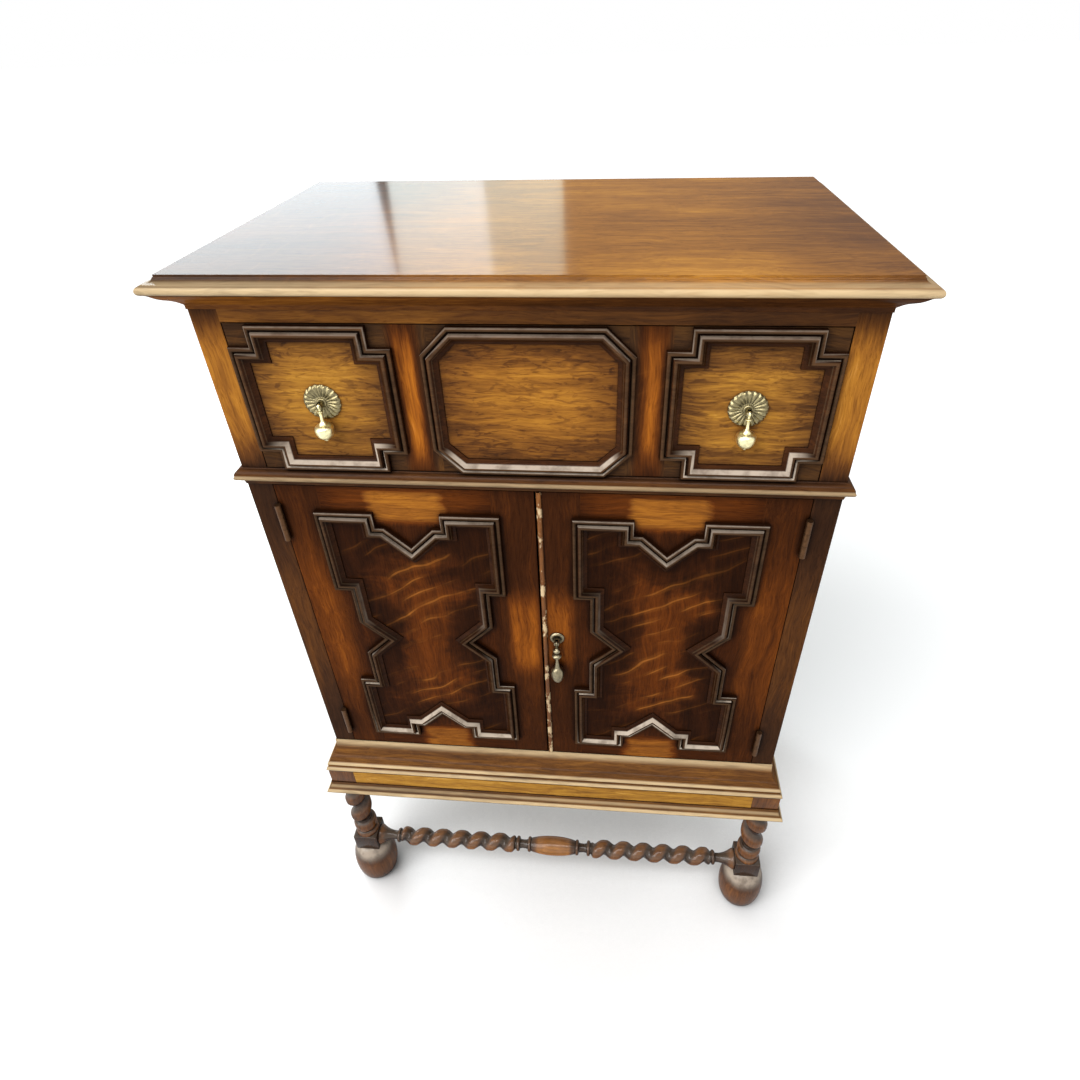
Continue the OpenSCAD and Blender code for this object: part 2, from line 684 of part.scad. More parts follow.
knuckle_l = (hinge_l - 2 * seat) / 3;
module post_leaf() {
    z1 = knuckle_l;
    z2 = hinge_l - knuckle_l;
    difference() {
        union() {
            box(post_x, post_x + leaf_t, fy, fy + leaf_d, 0, hinge_l);
            for (z = [0, z2]) {
                translate([hinge_x, hinge_y, z]) cylinder(r = knuckle_r, h = knuckle_l);
                box(post_x, post_x + leaf_t, hinge_y, fy + cut, z, z + z1);
            }
        }
        translate([hinge_x, hinge_y, -cut]) cylinder(r = pin_r + 0.02, h = hinge_l + 2 * cut);
    }
}

module door_leaf() {
    z1 = knuckle_l + seat;
    x1 = post_x - hinge_gap;
    difference() {
        union() {
            box(x1 - leaf_t, x1, fy, fy + leaf_d, 0, hinge_l);
            translate([hinge_x, hinge_y, z1]) cylinder(r = knuckle_r, h = knuckle_l);
            box(x1 - leaf_t, x1, hinge_y, fy + cut, z1, z1 + knuckle_l);
        }
        translate([hinge_x, hinge_y, -cut]) cylinder(r = pin_r + pin_play, h = hinge_l + 2 * cut);
    }
}

module post_hinge_leaves() {
    color(brass) both_sides() hinge_places() post_leaf();
}

module hinge_pins() {
    color(brass) both_sides() hinge_places() translate([hinge_x, hinge_y, 0]) cylinder(r = pin_r, h = hinge_l);
}

// Drawer

drawer_w = 2 * (post_x - drawer_side_gap);
drawer_mid_z = (z_drawer + z_frieze) / 2;
z_side0 = z_drawer + seat;
z_bottom0 = z_drawer + drawer_bottom_up;
drawer_back_y = fy + front_t + drawer_l;

// Dovetails of one drawer side, pointing to the front, in the y-z plane
module tail_shapes(y0, y1, z0, h) {
    pitch = h / tails;
    for (i = [0:tails - 1]) let(c = z0 + pitch * (i + 0.5))
        polygon([[y1, c - pitch * 0.22], [y0, c - pitch * 0.33], [y0, c + pitch * 0.33], [y1, c + pitch * 0.22]]);
}

module drawer_tails() {
    translate([drawer_w / 2 - drawer_side_t, 0, 0]) rotate([90, 0, 90]) linear_extrude(drawer_side_t)
        tail_shapes(fy + front_t - tail_l, fy + front_t, z_side0, drawer_side_h);
}

bottom_groove = 3;
module drawer_bottom_space(play) {
    box(-drawer_w / 2 + drawer_side_t - bottom_groove + play, drawer_w / 2 - drawer_side_t + bottom_groove - play,
        fy + front_t - 5 + play, drawer_back_y, z_bottom0, z_bottom0 + drawer_bottom_t);
}

module drawer_front() {
    color(oak) difference() {
        union() {
            box(-drawer_w / 2, drawer_w / 2, fy, fy + front_t, z_drawer + drawer_gap, z_frieze - drawer_gap);
            translate([0, fy + cut, drawer_mid_z]) {
                field(cut_rectangle(octagon_w, square_size, octagon_cut));
                both_sides() translate([moulding_pitch, 0, 0]) field(stepped_square(square_size, square_step));
            }
        }
        both_sides() drawer_tails();
        drawer_bottom_space(0);
        both_sides() translate([moulding_pitch, fy, drawer_mid_z]) bolt_hole();
    }
}

// The veneered field inside a moulding, from 1 mm inside the wood to field_t in front of it
module field(path) {
    rotate([90, 0, 0]) linear_extrude(cut + field_t) polygon(inset(path, mould_w));
}

// Hole for the threaded stem of a handle plate
stem_r = 2;
module bolt_hole() {
    translate([0, -field_t - cut, 0]) rotate([-90, 0, 0]) cylinder(r = stem_r + 0.02, h = front_t + field_t + 2 * cut);
}

module drawer_sides() {
    color(inner_oak) difference() {
        both_sides() union() {
            box(drawer_w / 2 - drawer_side_t, drawer_w / 2, fy + front_t, drawer_back_y, z_side0, z_side0 + drawer_side_h);
            drawer_tails();
        }
        drawer_bottom_space(0);
        drawer_back_board(0);
    }
}

back_set = 12;
module drawer_back_board(play) {
    box(-drawer_w / 2 + drawer_side_t - bottom_groove + play, drawer_w / 2 - drawer_side_t + bottom_groove - play,
        drawer_back_y - back_set - drawer_side_t, drawer_back_y - back_set,
        z_bottom0 + drawer_bottom_t, z_side0 + drawer_side_h - 8);
}

module drawer_back() {
    color(inner_oak) drawer_back_board(0.1);
}

module drawer_bottom() {
    color(inner_oak) drawer_bottom_space(0.1);
}

module square_moulding() {
    translate([0, fy, drawer_mid_z]) mitred_frame(stepped_square(square_size, square_step), panel_section(mould_w, mould_h));
}

module left_drawer_moulding() {
    color(dark_oak) translate([-moulding_pitch, 0, 0]) square_moulding();
}

module right_drawer_moulding() {
    color(dark_oak) translate([moulding_pitch, 0, 0]) square_moulding();
}

module centre_drawer_moulding() {
    color(dark_oak) translate([0, fy, drawer_mid_z])
        mitred_frame(cut_rectangle(octagon_w, square_size, octagon_cut), panel_section(mould_w, mould_h));
}

// Handles. Plates and posts point along -y from the surface they sit on, drops hang along -z

pivot_out = drop_r + 1.1;
ear_r = 3.4;
eye_t = 3;
slot_t = eye_t + 0.4;
eye_r = 2.7;

// A post with two ears, and the pin that the drop hangs on
module eared_post(r, pivot) {
    difference() {
        cylinder(r = r, h = pivot + 2.5);
        translate([-slot_t / 2, -r - cut, pivot - eye_r - 0.8]) cube([slot_t, 2 * (r + cut), eye_r + 4 + cut]);
    }
    translate([-r + 0.5, 0, pivot]) rotate([0, 90, 0]) cylinder(r = pivot_r, h = 2 * r - 1);
}

function plate_profile(r) = [[0, 0], [r - 0.8, 0], [r, 0.9], [r - 0.4, 2.1], [r - 1.6, 3.2], [r - 3.6, 3.8], [r - 6.4, 3.4],
    [r - 10, 2.7], [r - 12.4, 2.3], [5.4, 2.3], [5, 3.6], [4.2, 4.4], [0, 4.4]];

module handle_plate() {
    rotate([90, 0, 0]) {
        difference() {
            rotate_extrude() polygon(plate_profile(plate_r));
            for (i = [0:flutes - 1]) rotate([0, 0, 360 * (i + 0.5) / flutes])
                translate([6, 0, 4.6]) rotate([0, 94, 0]) cylinder(r = 1.7, h = plate_r, $fn = 24);
        }
        eared_post(ear_r, pivot_out);
    }
    rotate([-90, 0, 0]) cylinder(r = stem_r, h = front_t + field_t + 3);
    translate([0, front_t + field_t, 0]) rotate([-90, 0, 0]) cylinder(r = 5, h = 2.4, $fn = 6);
}

module left_handle_plate() {
    color(brass) translate([-moulding_pitch, fy - field_t, drawer_mid_z]) handle_plate();
}

module right_handle_plate() {
    color(brass) translate([moulding_pitch, fy - field_t, drawer_mid_z]) handle_plate();
}

// Eye of a drop, at the pivot
module drop_eye(reach) {
    difference() {
        union() {
            rotate([0, 90, 0]) translate([0, 0, -eye_t / 2]) cylinder(r = eye_r, h = eye_t);
            translate([-eye_t / 2, -1.4, -reach]) cube([eye_t, 2.8, reach]);
        }
        rotate([0, 90, 0]) translate([0, 0, -eye_t]) cylinder(r = pivot_r + pin_play, h = 2 * eye_t);
    }
}

function drop_profile(l, r) = concat([[0, -5], [2.6, -5], [3.2, -5.7], [2.6, -6.6], [1.8, -7.4], [1.6, -12], [1.9, -l + 22.5], [3.4, -l + 20.8]],
    [for (a = [64:-16:0]) [r * cos(a), -l + 14.2 + 5.4 * sin(a)]],
    [for (a = [12:13:90]) [r * (0.34 + 0.66 * cos(a)), -l + 14.2 - 11 * sin(a)]], [[2.4, -l + 1.2], [1.4, -l + 0.2], [0, -l]]);

module pear_drop() {
    drop_eye(5.4);
    rotate_extrude() polygon(drop_profile(drop_l, drop_r));
}

module left_drop() {
    color(brass) translate([-moulding_pitch, fy - field_t - pivot_out, drawer_mid_z]) pear_drop();
}

module right_drop() {
    color(brass) translate([moulding_pitch, fy - field_t - pivot_out, drawer_mid_z]) pear_drop();
}

// Doors. Each part is made for the right door and mirrored for the left

door_x0 = meeting_gap / 2;
door_x1 = post_x - hinge_gap;
door_mid_x = (door_x0 + door_x1) / 2;
door_z0 = z_floor + door_gap;
door_z1 = z_waist - door_gap;
door_mid_z = (door_z0 + door_z1) / 2;
panel_groove = 8;
moulding_cover = 9;
stile = max(stile_w, (door_x1 - door_x0 - figure_w) / 2 + moulding_cover);
panel_y1 = fy + door_panel_t;
tongue_t = 5;

// The panel's tongue runs in a groove of the stiles and rails, and its face is flush with them.
// At the sides it ends under the outer edge of the moulding
module panel_tongue(play) {
    box(door_mid_x - figure_w / 2 + play, door_mid_x + figure_w / 2 - play, panel_y1 - tongue_t,
        panel_y1, door_z0 + stile_w - panel_groove + play, door_z1 - stile_w + panel_groove - play);
}

door_tenon = 30;
module door_tenons(z0, z1) {
    box(door_x0 + stile - door_tenon, door_x1 - stile + door_tenon, panel_y1 + 1, panel_y1 + 7, z0, z1);
}

tenon_in = 14;
module door_stiles() {
    difference() {
        for (x = [[door_x0, door_x0 + stile], [door_x1 - stile, door_x1]])
            box(x[0], x[1], fy, fy + door_t, door_z0, door_z1);
        panel_tongue(0);
        door_tenons(door_z0 + tenon_in, door_z0 + stile_w - 2);
        door_tenons(door_z1 - stile_w + 2, door_z1 - tenon_in);
        hinge_places() box(door_x1 - leaf_t, door_x1 + cut, fy - cut, fy + leaf_d, 0, hinge_l);
    }
}

module door_rails() {
    difference() {
        union() {
            for (z = [[door_z0, door_z0 + stile_w], [door_z1 - stile_w, door_z1]])
                box(door_x0 + stile, door_x1 - stile, fy, fy + door_t, z[0], z[1]);
            door_tenons(door_z0 + tenon_in, door_z0 + stile_w - 2);
            door_tenons(door_z1 - stile_w + 2, door_z1 - tenon_in);
        }
        panel_tongue(0);
    }
}

figure_path = door_figure(figure_w, figure_h, figure_waist, figure_step_up, figure_step_low, figure_point);
module door_panel() {
    panel_tongue(0.1);
    box(door_x0 + stile, door_x1 - stile, fy, panel_y1, door_z0 + stile_w, door_z1 - stile_w);
    intersection() {
        translate([door_mid_x, fy + cut, door_mid_z - figure_drop]) field(figure_path);
        box(door_x0, door_x1, fy - field_t - cut, fy, door_z0, door_z1);
    }
}

module door_moulding() {
    translate([door_mid_x, fy, door_mid_z - figure_drop]) mitred_frame(figure_path, panel_section(mould_w, mould_h));
}

module left_door_stiles() {
    color(oak) mirror([1, 0, 0]) door_stiles();
}

module right_door_stiles() {
    color(oak) difference() {
        door_stiles();
        translate([door_handle_x, fy, z_handle]) bolt_hole();
    }
}

module left_door_rails() {
    color(oak) mirror([1, 0, 0]) door_rails();
}

module right_door_rails() {
    color(oak) door_rails();
}

module left_door_panel() {
    color(oak) mirror([1, 0, 0]) door_panel();
}

module right_door_panel() {
    color(oak) door_panel();
}

module left_door_moulding() {
    color(dark_oak) mirror([1, 0, 0]) door_moulding();
}

module right_door_moulding() {
    color(dark_oak) door_moulding();
}

module left_door_hinge_leaves() {
    color(brass) mirror([1, 0, 0]) hinge_places() door_leaf();
}

module right_door_hinge_leaves() {
    color(brass) hinge_places() door_leaf();
}

// Half-round bead along the meeting edge of the right door
bead_w = 6;
bead_out = 2.4;
module right_door_bead() {
    color(inner_oak) translate([door_x0, fy, door_z0]) linear_extrude(door_z1 - door_z0)
        polygon(concat([[0, 0]], [for (a = [180:-20:0]) [bead_w / 2 + bead_w / 2 * cos(a), -bead_out * sin(a)]], [[bead_w, 0]]));
}

z_handle = z_floor + door_handle_up;
door_pivot = door_drop_r + 0.9;
function small_plate_profile(r) = [[0, 0], [r - 0.6, 0], [r, 0.8], [r - 0.5, 1.8], [r - 1.9, 2.7], [r - 3.4, 2.5], [r - 4.8, 1.5], [0, 1.5]];
module door_handle_plate() {
    color(brass) translate([door_handle_x, fy, z_handle]) {
        rotate([90, 0, 0]) {
            rotate_extrude() polygon(small_plate_profile(door_plate_r));
            eared_post(ear_r, door_pivot);
        }
        rotate([-90, 0, 0]) cylinder(r = stem_r, h = door_t + 3);
        translate([0, door_t, 0]) rotate([-90, 0, 0]) cylinder(r = 5, h = 2.4, $fn = 6);
    }
}

function door_drop_profile(l, r) = concat([[0, -5], [2.4, -5], [1.7, -6.4], [1.6, -9], [2.6, -10.2]],
    arc(2.4, -12.8, 2.6, 70, -70, 5), [[1.9, -16.2], [1.9, -18.4], [4.6, -19.6], [6.2, -21], [6, -22.8], [3.6, -24], [2.3, -25.6],
    [1.9, -31], [2.6, -38]], [for (a = [60:-15:0]) [r * cos(a), -l + 17 + 12 * sin(a)]],
    [for (a = [14:14:84]) [r * (0.28 + 0.72 * cos(a)), -l + 17 - 15 * sin(a)]], [[1.6, -l + 0.6], [0, -l]]);

module door_drop() {
    color(brass) translate([door_handle_x, fy - door_pivot, z_handle]) {
        drop_eye(5.4);
        rotate_extrude() polygon(door_drop_profile(door_drop_l, door_drop_r));
    }
}

// Bolt on the back of the left door, near its meeting edge. It slides up into the waist rail
bolt_r = 2.5;
bolt_x = 22;
bolt_y = fy + door_t + 5.5;
bolt_case_h = 46;
bolt_top = door_z1 - stop_h - 1;
module left_door_bolt_case() {
    z1 = bolt_top - 3;
    z0 = z1 - bolt_case_h;
    color(brass) difference() {
        union() {
            box(-bolt_x - 9, -bolt_x + 9, fy + door_t, fy + door_t + 1.2, z0, z1);
            for (z = [z0 + 3, z1 - 11]) box(-bolt_x - 4.5, -bolt_x + 4.5, fy + door_t, bolt_y + 4.2, z, z + 8);
        }
        translate([-bolt_x, bolt_y, z0 - cut]) cylinder(r = bolt_r + pin_play, h = bolt_case_h + 2 * cut);
    }
}

module left_door_bolt() {
    z0 = bolt_top - bolt_case_h + 2;
    color(brass) translate([-bolt_x, bolt_y, z0]) {
        cylinder(r = bolt_r, h = bolt_top - z0);
        translate([0, 0, 18]) rotate([-90, 0, 0]) cylinder(r = 1.4, h = 9);
        translate([0, 9, 18]) sphere(r = 2.6);
    }
}

top_board();
bed_moulding();
left_front_post();
right_front_post();
left_back_post();
right_back_post();
side_rails();
side_panels();
back_panel();
frieze_rail();
back_top_rail();
waist_rail();
bottom_rail();
drawer_runners();
drawer_kickers();
drawer_stops();
bottom_board();
shelf();
shelf_bearers();
door_stop();
waist_moulding();
plinth_front();
plinth_sides();
plinth_back();
plinth_cap_moulding();
plinth_base_moulding();
left_front_leg();
right_front_leg();
left_back_leg();
right_back_leg();
front_stretcher();
post_hinge_leaves();
hinge_pins();
drawer_front();
drawer_sides();
drawer_back();
drawer_bottom();
left_drawer_moulding();
centre_drawer_moulding();
right_drawer_moulding();
left_handle_plate();
right_handle_plate();
left_drop();
right_drop();
left_door_stiles();
left_door_rails();
left_door_panel();
left_door_moulding();
left_door_hinge_leaves();
left_door_bolt_case();
left_door_bolt();
right_door_stiles();
right_door_rails();
right_door_panel();
right_door_moulding();
right_door_hinge_leaves();
right_door_bead();
door_handle_plate();
door_drop();
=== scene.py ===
import math
import bpy
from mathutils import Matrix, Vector


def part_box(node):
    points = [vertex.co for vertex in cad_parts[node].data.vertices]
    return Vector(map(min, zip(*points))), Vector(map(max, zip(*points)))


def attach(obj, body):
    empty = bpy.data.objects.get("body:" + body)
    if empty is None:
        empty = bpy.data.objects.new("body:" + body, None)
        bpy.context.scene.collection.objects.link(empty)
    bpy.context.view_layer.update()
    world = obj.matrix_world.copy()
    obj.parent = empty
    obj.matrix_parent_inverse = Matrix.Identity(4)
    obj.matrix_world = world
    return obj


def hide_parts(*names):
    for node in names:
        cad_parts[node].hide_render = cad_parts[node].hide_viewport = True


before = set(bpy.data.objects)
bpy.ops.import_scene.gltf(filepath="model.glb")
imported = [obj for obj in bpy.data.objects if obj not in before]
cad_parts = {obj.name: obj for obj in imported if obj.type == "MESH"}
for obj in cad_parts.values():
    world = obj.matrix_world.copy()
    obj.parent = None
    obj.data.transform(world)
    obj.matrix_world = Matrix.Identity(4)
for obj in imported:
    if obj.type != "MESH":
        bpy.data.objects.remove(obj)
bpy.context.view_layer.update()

bpy.ops.object.select_all(action="DESELECT")


# Camera: close to the cabinet and well above its top, turned a little to the left.
# A wide lens gives the strong narrowing towards the floor.
bpy.ops.object.camera_add(
    location=(0.0835, -0.774, 1.2505),
    rotation=(math.radians(54.67), math.radians(1.457), math.radians(4.815)),
)
camera = bpy.context.object
camera.data.sensor_width = 36
camera.data.lens = 22.66
camera.data.shift_x = -0.01465
camera.data.shift_y = -0.03993
camera.data.clip_start = 0.01
bpy.context.scene.camera = camera
bpy.context.scene.view_settings.view_transform = "Standard"


# Studio: a pale floor under an even white surround. A broad soft sun from the left front and two
# softboxes light the cabinet, and a painted shadow darkens the floor where the cabinet shelters
# it. Three panes behind the left end lie as a barred window's glare across the polished top.
def add(tree, kind, links=None, **settings):
    made = tree.nodes.new(kind)
    for setting, value in settings.items():
        setattr(made, setting, value)
    for socket, value in (links or {}).items():
        if isinstance(value, bpy.types.NodeSocket):
            tree.links.new(value, made.inputs[socket])
        else:
            made.inputs[socket].default_value = value
    return made


def calc(tree, operation, first, second=0.0, third=0.0):
    return add(tree, "ShaderNodeMath", {0: first, 1: second, 2: third}, operation=operation).outputs[0]


def times(tree, *values):
    total = values[0]
    for value in values[1:]:
        total = calc(tree, "MULTIPLY", total, value)
    return total


def smooth(tree, value, low, high, start=0.0, end=1.0):
    made = add(
        tree,
        "ShaderNodeMapRange",
        {"Value": value, "From Min": low, "From Max": high, "To Min": start, "To Max": end},
        interpolation_type="SMOOTHSTEP",
    )
    return made.outputs["Result"]


def mix_colour(tree, share, first, second, blend="MIX"):
    links = {0: share, 6: first, 7: second}
    return add(tree, "ShaderNodeMix", links, data_type="RGBA", blend_type=blend).outputs[2]


def place(tree):
    return add(tree, "ShaderNodeTexCoord").outputs["Object"]


def white_to_the_eye(tree, dim, bright):
    path = add(tree, "ShaderNodeLightPath").outputs
    looks = calc(tree, "MAXIMUM", path["Is Camera Ray"], path["Is Glossy Ray"])
    looks = calc(tree, "MAXIMUM", looks, path["Is Transmission Ray"])
    level = add(tree, "ShaderNodeMapRange", {"Value": looks, "To Min": dim, "To Max": bright})
    return level.outputs["Result"]


bpy.ops.mesh.primitive_plane_add(size=60)
floor = bpy.context.object
floor.name = "floor"
floor_paint = bpy.data.materials.new("floor_paint")
floor_paint.use_nodes = True
floor_tree = floor_paint.node_tree
floor_shader = floor_tree.nodes["Principled BSDF"]
distance = add(floor_tree, "ShaderNodeVectorMath", {0: place(floor_tree)}, operation="LENGTH")
far_glow = smooth(floor_tree, distance.outputs["Value"], 0.5, 2.4, 0.13, 0.55)
# Painted shadow: occlusion, leaned towards the sun, darkens the floor's colour and its white glow under
# and beside the cabinet.
towards_sun = add(floor_tree, "ShaderNodeCombineXYZ", {"X": -0.45, "Z": 0.89}).outputs["Vector"]
painted_shadow_ao = {"Distance": 0.6, "Normal": towards_sun}
painted_shadow_ao = add(floor_tree, "ShaderNodeAmbientOcclusion", painted_shadow_ao, samples=24).outputs["AO"]
outside_painted_shadow = {"Value": painted_shadow_ao, "From Min": 0.22, "From Max": 0.78, "To Min": 0.24}
outside_painted_shadow = add(floor_tree, "ShaderNodeMapRange", outside_painted_shadow).outputs["Result"]
floor_glow = times(floor_tree, white_to_the_eye(floor_tree, 0.0, 1.0), far_glow, outside_painted_shadow)
floor_tone = mix_colour(floor_tree, outside_painted_shadow, (0.0, 0.0, 0.0, 1), (0.88, 0.88, 0.88, 1))
floor_tree.links.new(floor_glow, floor_shader.inputs["Emission Strength"])
floor_tree.links.new(floor_tone, floor_shader.inputs["Base Color"])
floor_shader.inputs["Emission Color"].default_value = (1, 1, 1, 1)
floor_shader.inputs["Roughness"].default_value = 0.9
floor_shader.inputs["Specular IOR Level"].default_value = 0.0
floor.data.materials.append(floor_paint)

surround = bpy.data.worlds.new("surround")
surround.use_nodes = True
bpy.context.scene.world = surround
background = surround.node_tree.nodes["Background"]
background.inputs["Color"].default_value = (1, 1, 1, 1)
surround_level = white_to_the_eye(surround.node_tree, 0.28, 1.0)
surround.node_tree.links.new(surround_level, background.inputs["Strength"])

bpy.ops.object.light_add(type="SUN", rotation=(math.radians(34), math.radians(-38), 0))
sun = bpy.context.object
sun.data.energy = 2.1
sun.data.angle = math.radians(42)


def softbox(spot, target, width, height, power, colour=(1, 1, 1)):
    bpy.ops.object.light_add(type="AREA", location=spot)
    lamp = bpy.context.object
    lamp.data.shape = "RECTANGLE"
    lamp.data.size = width
    lamp.data.size_y = height
    lamp.data.energy = power
    lamp.data.color = colour
    lamp.rotation_euler = (Vector(target) - lamp.location).to_track_quat("-Z", "Y").to_euler()


softbox((0.1, -1.15, 2.6), (0, -0.15, 0.6), width=1.8, height=0.44, power=25)
softbox((-2.1, -1.5, 1.3), (0, -0.1, 0.5), width=0.7, height=1.3, power=15)
# The three panes stand behind the left end, and the gaps between them are the window's bars.
softbox((-1.53, 2.00, 1.66), (-0.20, 0, 1.07), 1.34, 0.80, 45, (0.82, 0.90, 0.94))
softbox((-0.70, 2.295, 1.68), (-0.15, 0, 1.07), 0.41, 0.66, 9.2, (0.88, 0.98, 0.96))
softbox((-0.335, 2.36, 1.68), (-0.05, 0, 1.07), 0.34, 0.66, 4.1, (0.84, 1.0, 0.88))


# Polished oak: the wood of every piece that shows. Node groups give its fibre, growth bands, open
# pores and rays, its worn edges, its corners darkened with dirt and painted shade, a broader painted
# shade near other parts, and a colour for a tone from 0, nearly black, to 1, gold. Each tone,
# redness, ray share, share of dust and painted highlight on upward faces, and pale part of rubbed
# wear and painted highlight is a value or a mask.
def highest(tree, *values):
    total = values[0]
    for value in values[1:]:
        total = calc(tree, "MAXIMUM", total, value)
    return total


def band(tree, value, centre, half, soft):
    apart = calc(tree, "ABSOLUTE", calc(tree, "SUBTRACT", value, centre))
    return smooth(tree, apart, half, half + soft, 1.0, 0.0)


def mix(tree, share, first, second):
    return add(tree, "ShaderNodeMix", {0: share, 2: first, 3: second}).outputs[0]


def noise(tree, vector, scale, detail, rough, warp=0.0):
    sized = add(tree, "ShaderNodeVectorMath", {0: vector, 1: scale}, operation="MULTIPLY")
    links = {"Vector": sized.outputs[0], "Scale": 1.0, "Detail": detail}
    links.update({"Roughness": rough, "Distortion": warp})
    return add(tree, "ShaderNodeTexNoise", links).outputs["Fac"]


figure = bpy.data.node_groups.new("oak_figure", "ShaderNodeTree")
figure.interface.new_socket("Vector", in_out="INPUT", socket_type="NodeSocketVector")
for output in ("Fibre", "Bands", "Pores", "Rays"):
    figure.interface.new_socket(output, in_out="OUTPUT", socket_type="NodeSocketFloat")
figure_in = figure.nodes.new("NodeGroupInput")
figure_out = figure.nodes.new("NodeGroupOutput")
along = figure_in.outputs["Vector"]
wave = add(figure, "ShaderNodeTexNoise", {"Vector": along, "Scale": 9.0, "Detail": 2.0})
noise_middle = (0.5, 0.5, 0.5)
drift = {0: wave.outputs["Color"], 1: noise_middle}
drift = add(figure, "ShaderNodeVectorMath", drift, operation="SUBTRACT")
drift = {0: drift.outputs[0], 1: (0.0, 0.024, 0.024), 2: along}
wavy = add(figure, "ShaderNodeVectorMath", drift, operation="MULTIPLY_ADD").outputs[0]
fibre = noise(figure, wavy, (16, 300, 300), 5.0, 0.62)
broad = noise(figure, wavy, (4.5, 60, 60), 3.0, 0.55, 0.5)
narrow = noise(figure, wavy, (18, 210, 210), 2.0, 0.5, 1.3)
bands = mix(figure, 0.42, broad, narrow)
pores = smooth(figure, noise(figure, wavy, (60, 1250, 1250), 1.0, 0.4), 0.56, 0.68)
ray_turn = {"Vector": along, "Axis": (0, 0, 1), "Angle": math.radians(-62)}
turned_rays = add(figure, "ShaderNodeVectorRotate", ray_turn).outputs[0]
arcs = {"Vector": turned_rays, "Scale": 15.0, "Distortion": 5.0, "Detail": 1.6, "Detail Scale": 1.0}
arcs = add(figure, "ShaderNodeTexWave", arcs, bands_direction="Y").outputs["Fac"]
ray_patches = smooth(figure, noise(figure, turned_rays, (12, 32, 32), 2.0, 0.5), 0.46, 0.63)
glow = times(figure, smooth(figure, arcs, 0.2, 1.0), 0.24)
rays = times(figure, highest(figure, smooth(figure, arcs, 0.935, 1.0), glow), ray_patches)
for output, value in (("Fibre", fibre), ("Bands", bands), ("Pores", pores), ("Rays", rays)):
    figure.links.new(value, figure_out.inputs[output])

tones = bpy.data.node_groups.new("oak_tones", "ShaderNodeTree")
for entry in ("Tone", "Fibre", "Bands", "Pores", "Rays", "Red"):
    tones.interface.new_socket(entry, in_out="INPUT", socket_type="NodeSocketFloat")
tones.interface.new_socket("Color", in_out="OUTPUT", socket_type="NodeSocketColor")
tones_in = tones.nodes.new("NodeGroupInput")
tones_out = tones.nodes.new("NodeGroupOutput")
streak = calc(tones, "MULTIPLY_ADD", tones_in.outputs["Bands"], 1.0, -0.50)
streak = calc(tones, "MULTIPLY_ADD", tones_in.outputs["Fibre"], 0.42, calc(tones, "ADD", streak, -0.21))
swing = smooth(tones, tones_in.outputs["Tone"], 0.0, 0.7, 0.35, 1.0)
level = calc(tones, "MULTIPLY_ADD", streak, swing, tones_in.outputs["Tone"])
ramp = add(tones, "ShaderNodeValToRGB", {"Fac": level})
ramp.color_ramp.elements[0].position = 0.0
ramp.color_ramp.elements[0].color = (0.014, 0.007, 0.004, 1)
ramp.color_ramp.elements[1].position = 1.0
ramp.color_ramp.elements[1].color = (0.60, 0.34, 0.09, 1)
for stop_at, colour in (
    (0.18, (0.046, 0.021, 0.009, 1)),
    (0.38, (0.125, 0.053, 0.014, 1)),
    (0.60, (0.27, 0.122, 0.022, 1)),
    (0.80, (0.42, 0.205, 0.030, 1)),
):
    stop = ramp.color_ramp.elements.new(stop_at)
    stop.color = colour
red_stain = (1.0, 0.58, 0.30, 1)
pore_dirt = (0.32, 0.24, 0.18, 1)
ray_orange = (0.36, 0.122, 0.020, 1)
# Pale colour for rubbed wear, and on ridges and noses also for painted highlight.
rubbed_and_highlit_wood = (0.62, 0.46, 0.26, 1)
# Grey for dust and painted highlight on upward faces.
grey_dust_and_sheen = (0.46, 0.38, 0.30, 1)
redder = mix_colour(tones, tones_in.outputs["Red"], ramp.outputs["Color"], red_stain, "MULTIPLY")
dark_pores = calc(tones, "MULTIPLY", tones_in.outputs["Pores"], 0.40)
pored = mix_colour(tones, dark_pores, redder, pore_dirt, "MULTIPLY")
rayed = mix_colour(tones, tones_in.outputs["Rays"], pored, ray_orange)
tones.links.new(rayed, tones_out.inputs["Color"])

wear_and_shade = bpy.data.node_groups.new("oak_wear_and_shade", "ShaderNodeTree")
for output in ("Edge", "Corner", "Painted Shade"):
    wear_and_shade.interface.new_socket(output, in_out="OUTPUT", socket_type="NodeSocketFloat")
wear_and_shade.interface.new_socket("Normal", in_out="OUTPUT", socket_type="NodeSocketVector")
wear_and_shade_out = wear_and_shade.nodes.new("NodeGroupOutput")
eased = add(wear_and_shade, "ShaderNodeBevel", {"Radius": 0.0009}, samples=4).outputs[0]
true_normal = add(wear_and_shade, "ShaderNodeNewGeometry").outputs["Normal"]
facing = add(wear_and_shade, "ShaderNodeVectorMath", {0: eased, 1: true_normal}, operation="DOT_PRODUCT")
agree = facing.outputs["Value"]
openness = add(wear_and_shade, "ShaderNodeAmbientOcclusion", {"Distance": 0.008}, samples=4).outputs["AO"]
edge = times(wear_and_shade, smooth(wear_and_shade, agree, 0.985, 0.82), smooth(wear_and_shade, openness, 0.72, 0.96))
# Corner: tight corners darkened, both as dirt and as painted shade.
corner = smooth(wear_and_shade, openness, 0.90, 0.45)
# Painted shade: a broader darkening near other parts, from occlusion within a few centimetres.
shelter = add(wear_and_shade, "ShaderNodeAmbientOcclusion", {"Distance": 0.034}, samples=4).outputs["AO"]
painted_shade = smooth(wear_and_shade, shelter, 0.95, 0.45)
for output, value in (("Edge", edge), ("Corner", corner), ("Painted Shade", painted_shade), ("Normal", eased)):
    wear_and_shade.links.new(value, wear_and_shade_out.inputs[output])


def lay(tree, split, grain):
    order = {"x": (0, 2, 1), "y": (1, 0, 2), "z": (2, 0, 1), "z on a side": (2, 1, 0)}[grain]
    links = {0: split[order[0]], 1: split[order[1]], 2: split[order[2]]}
    return add(tree, "ShaderNodeCombineXYZ", links).outputs[0]


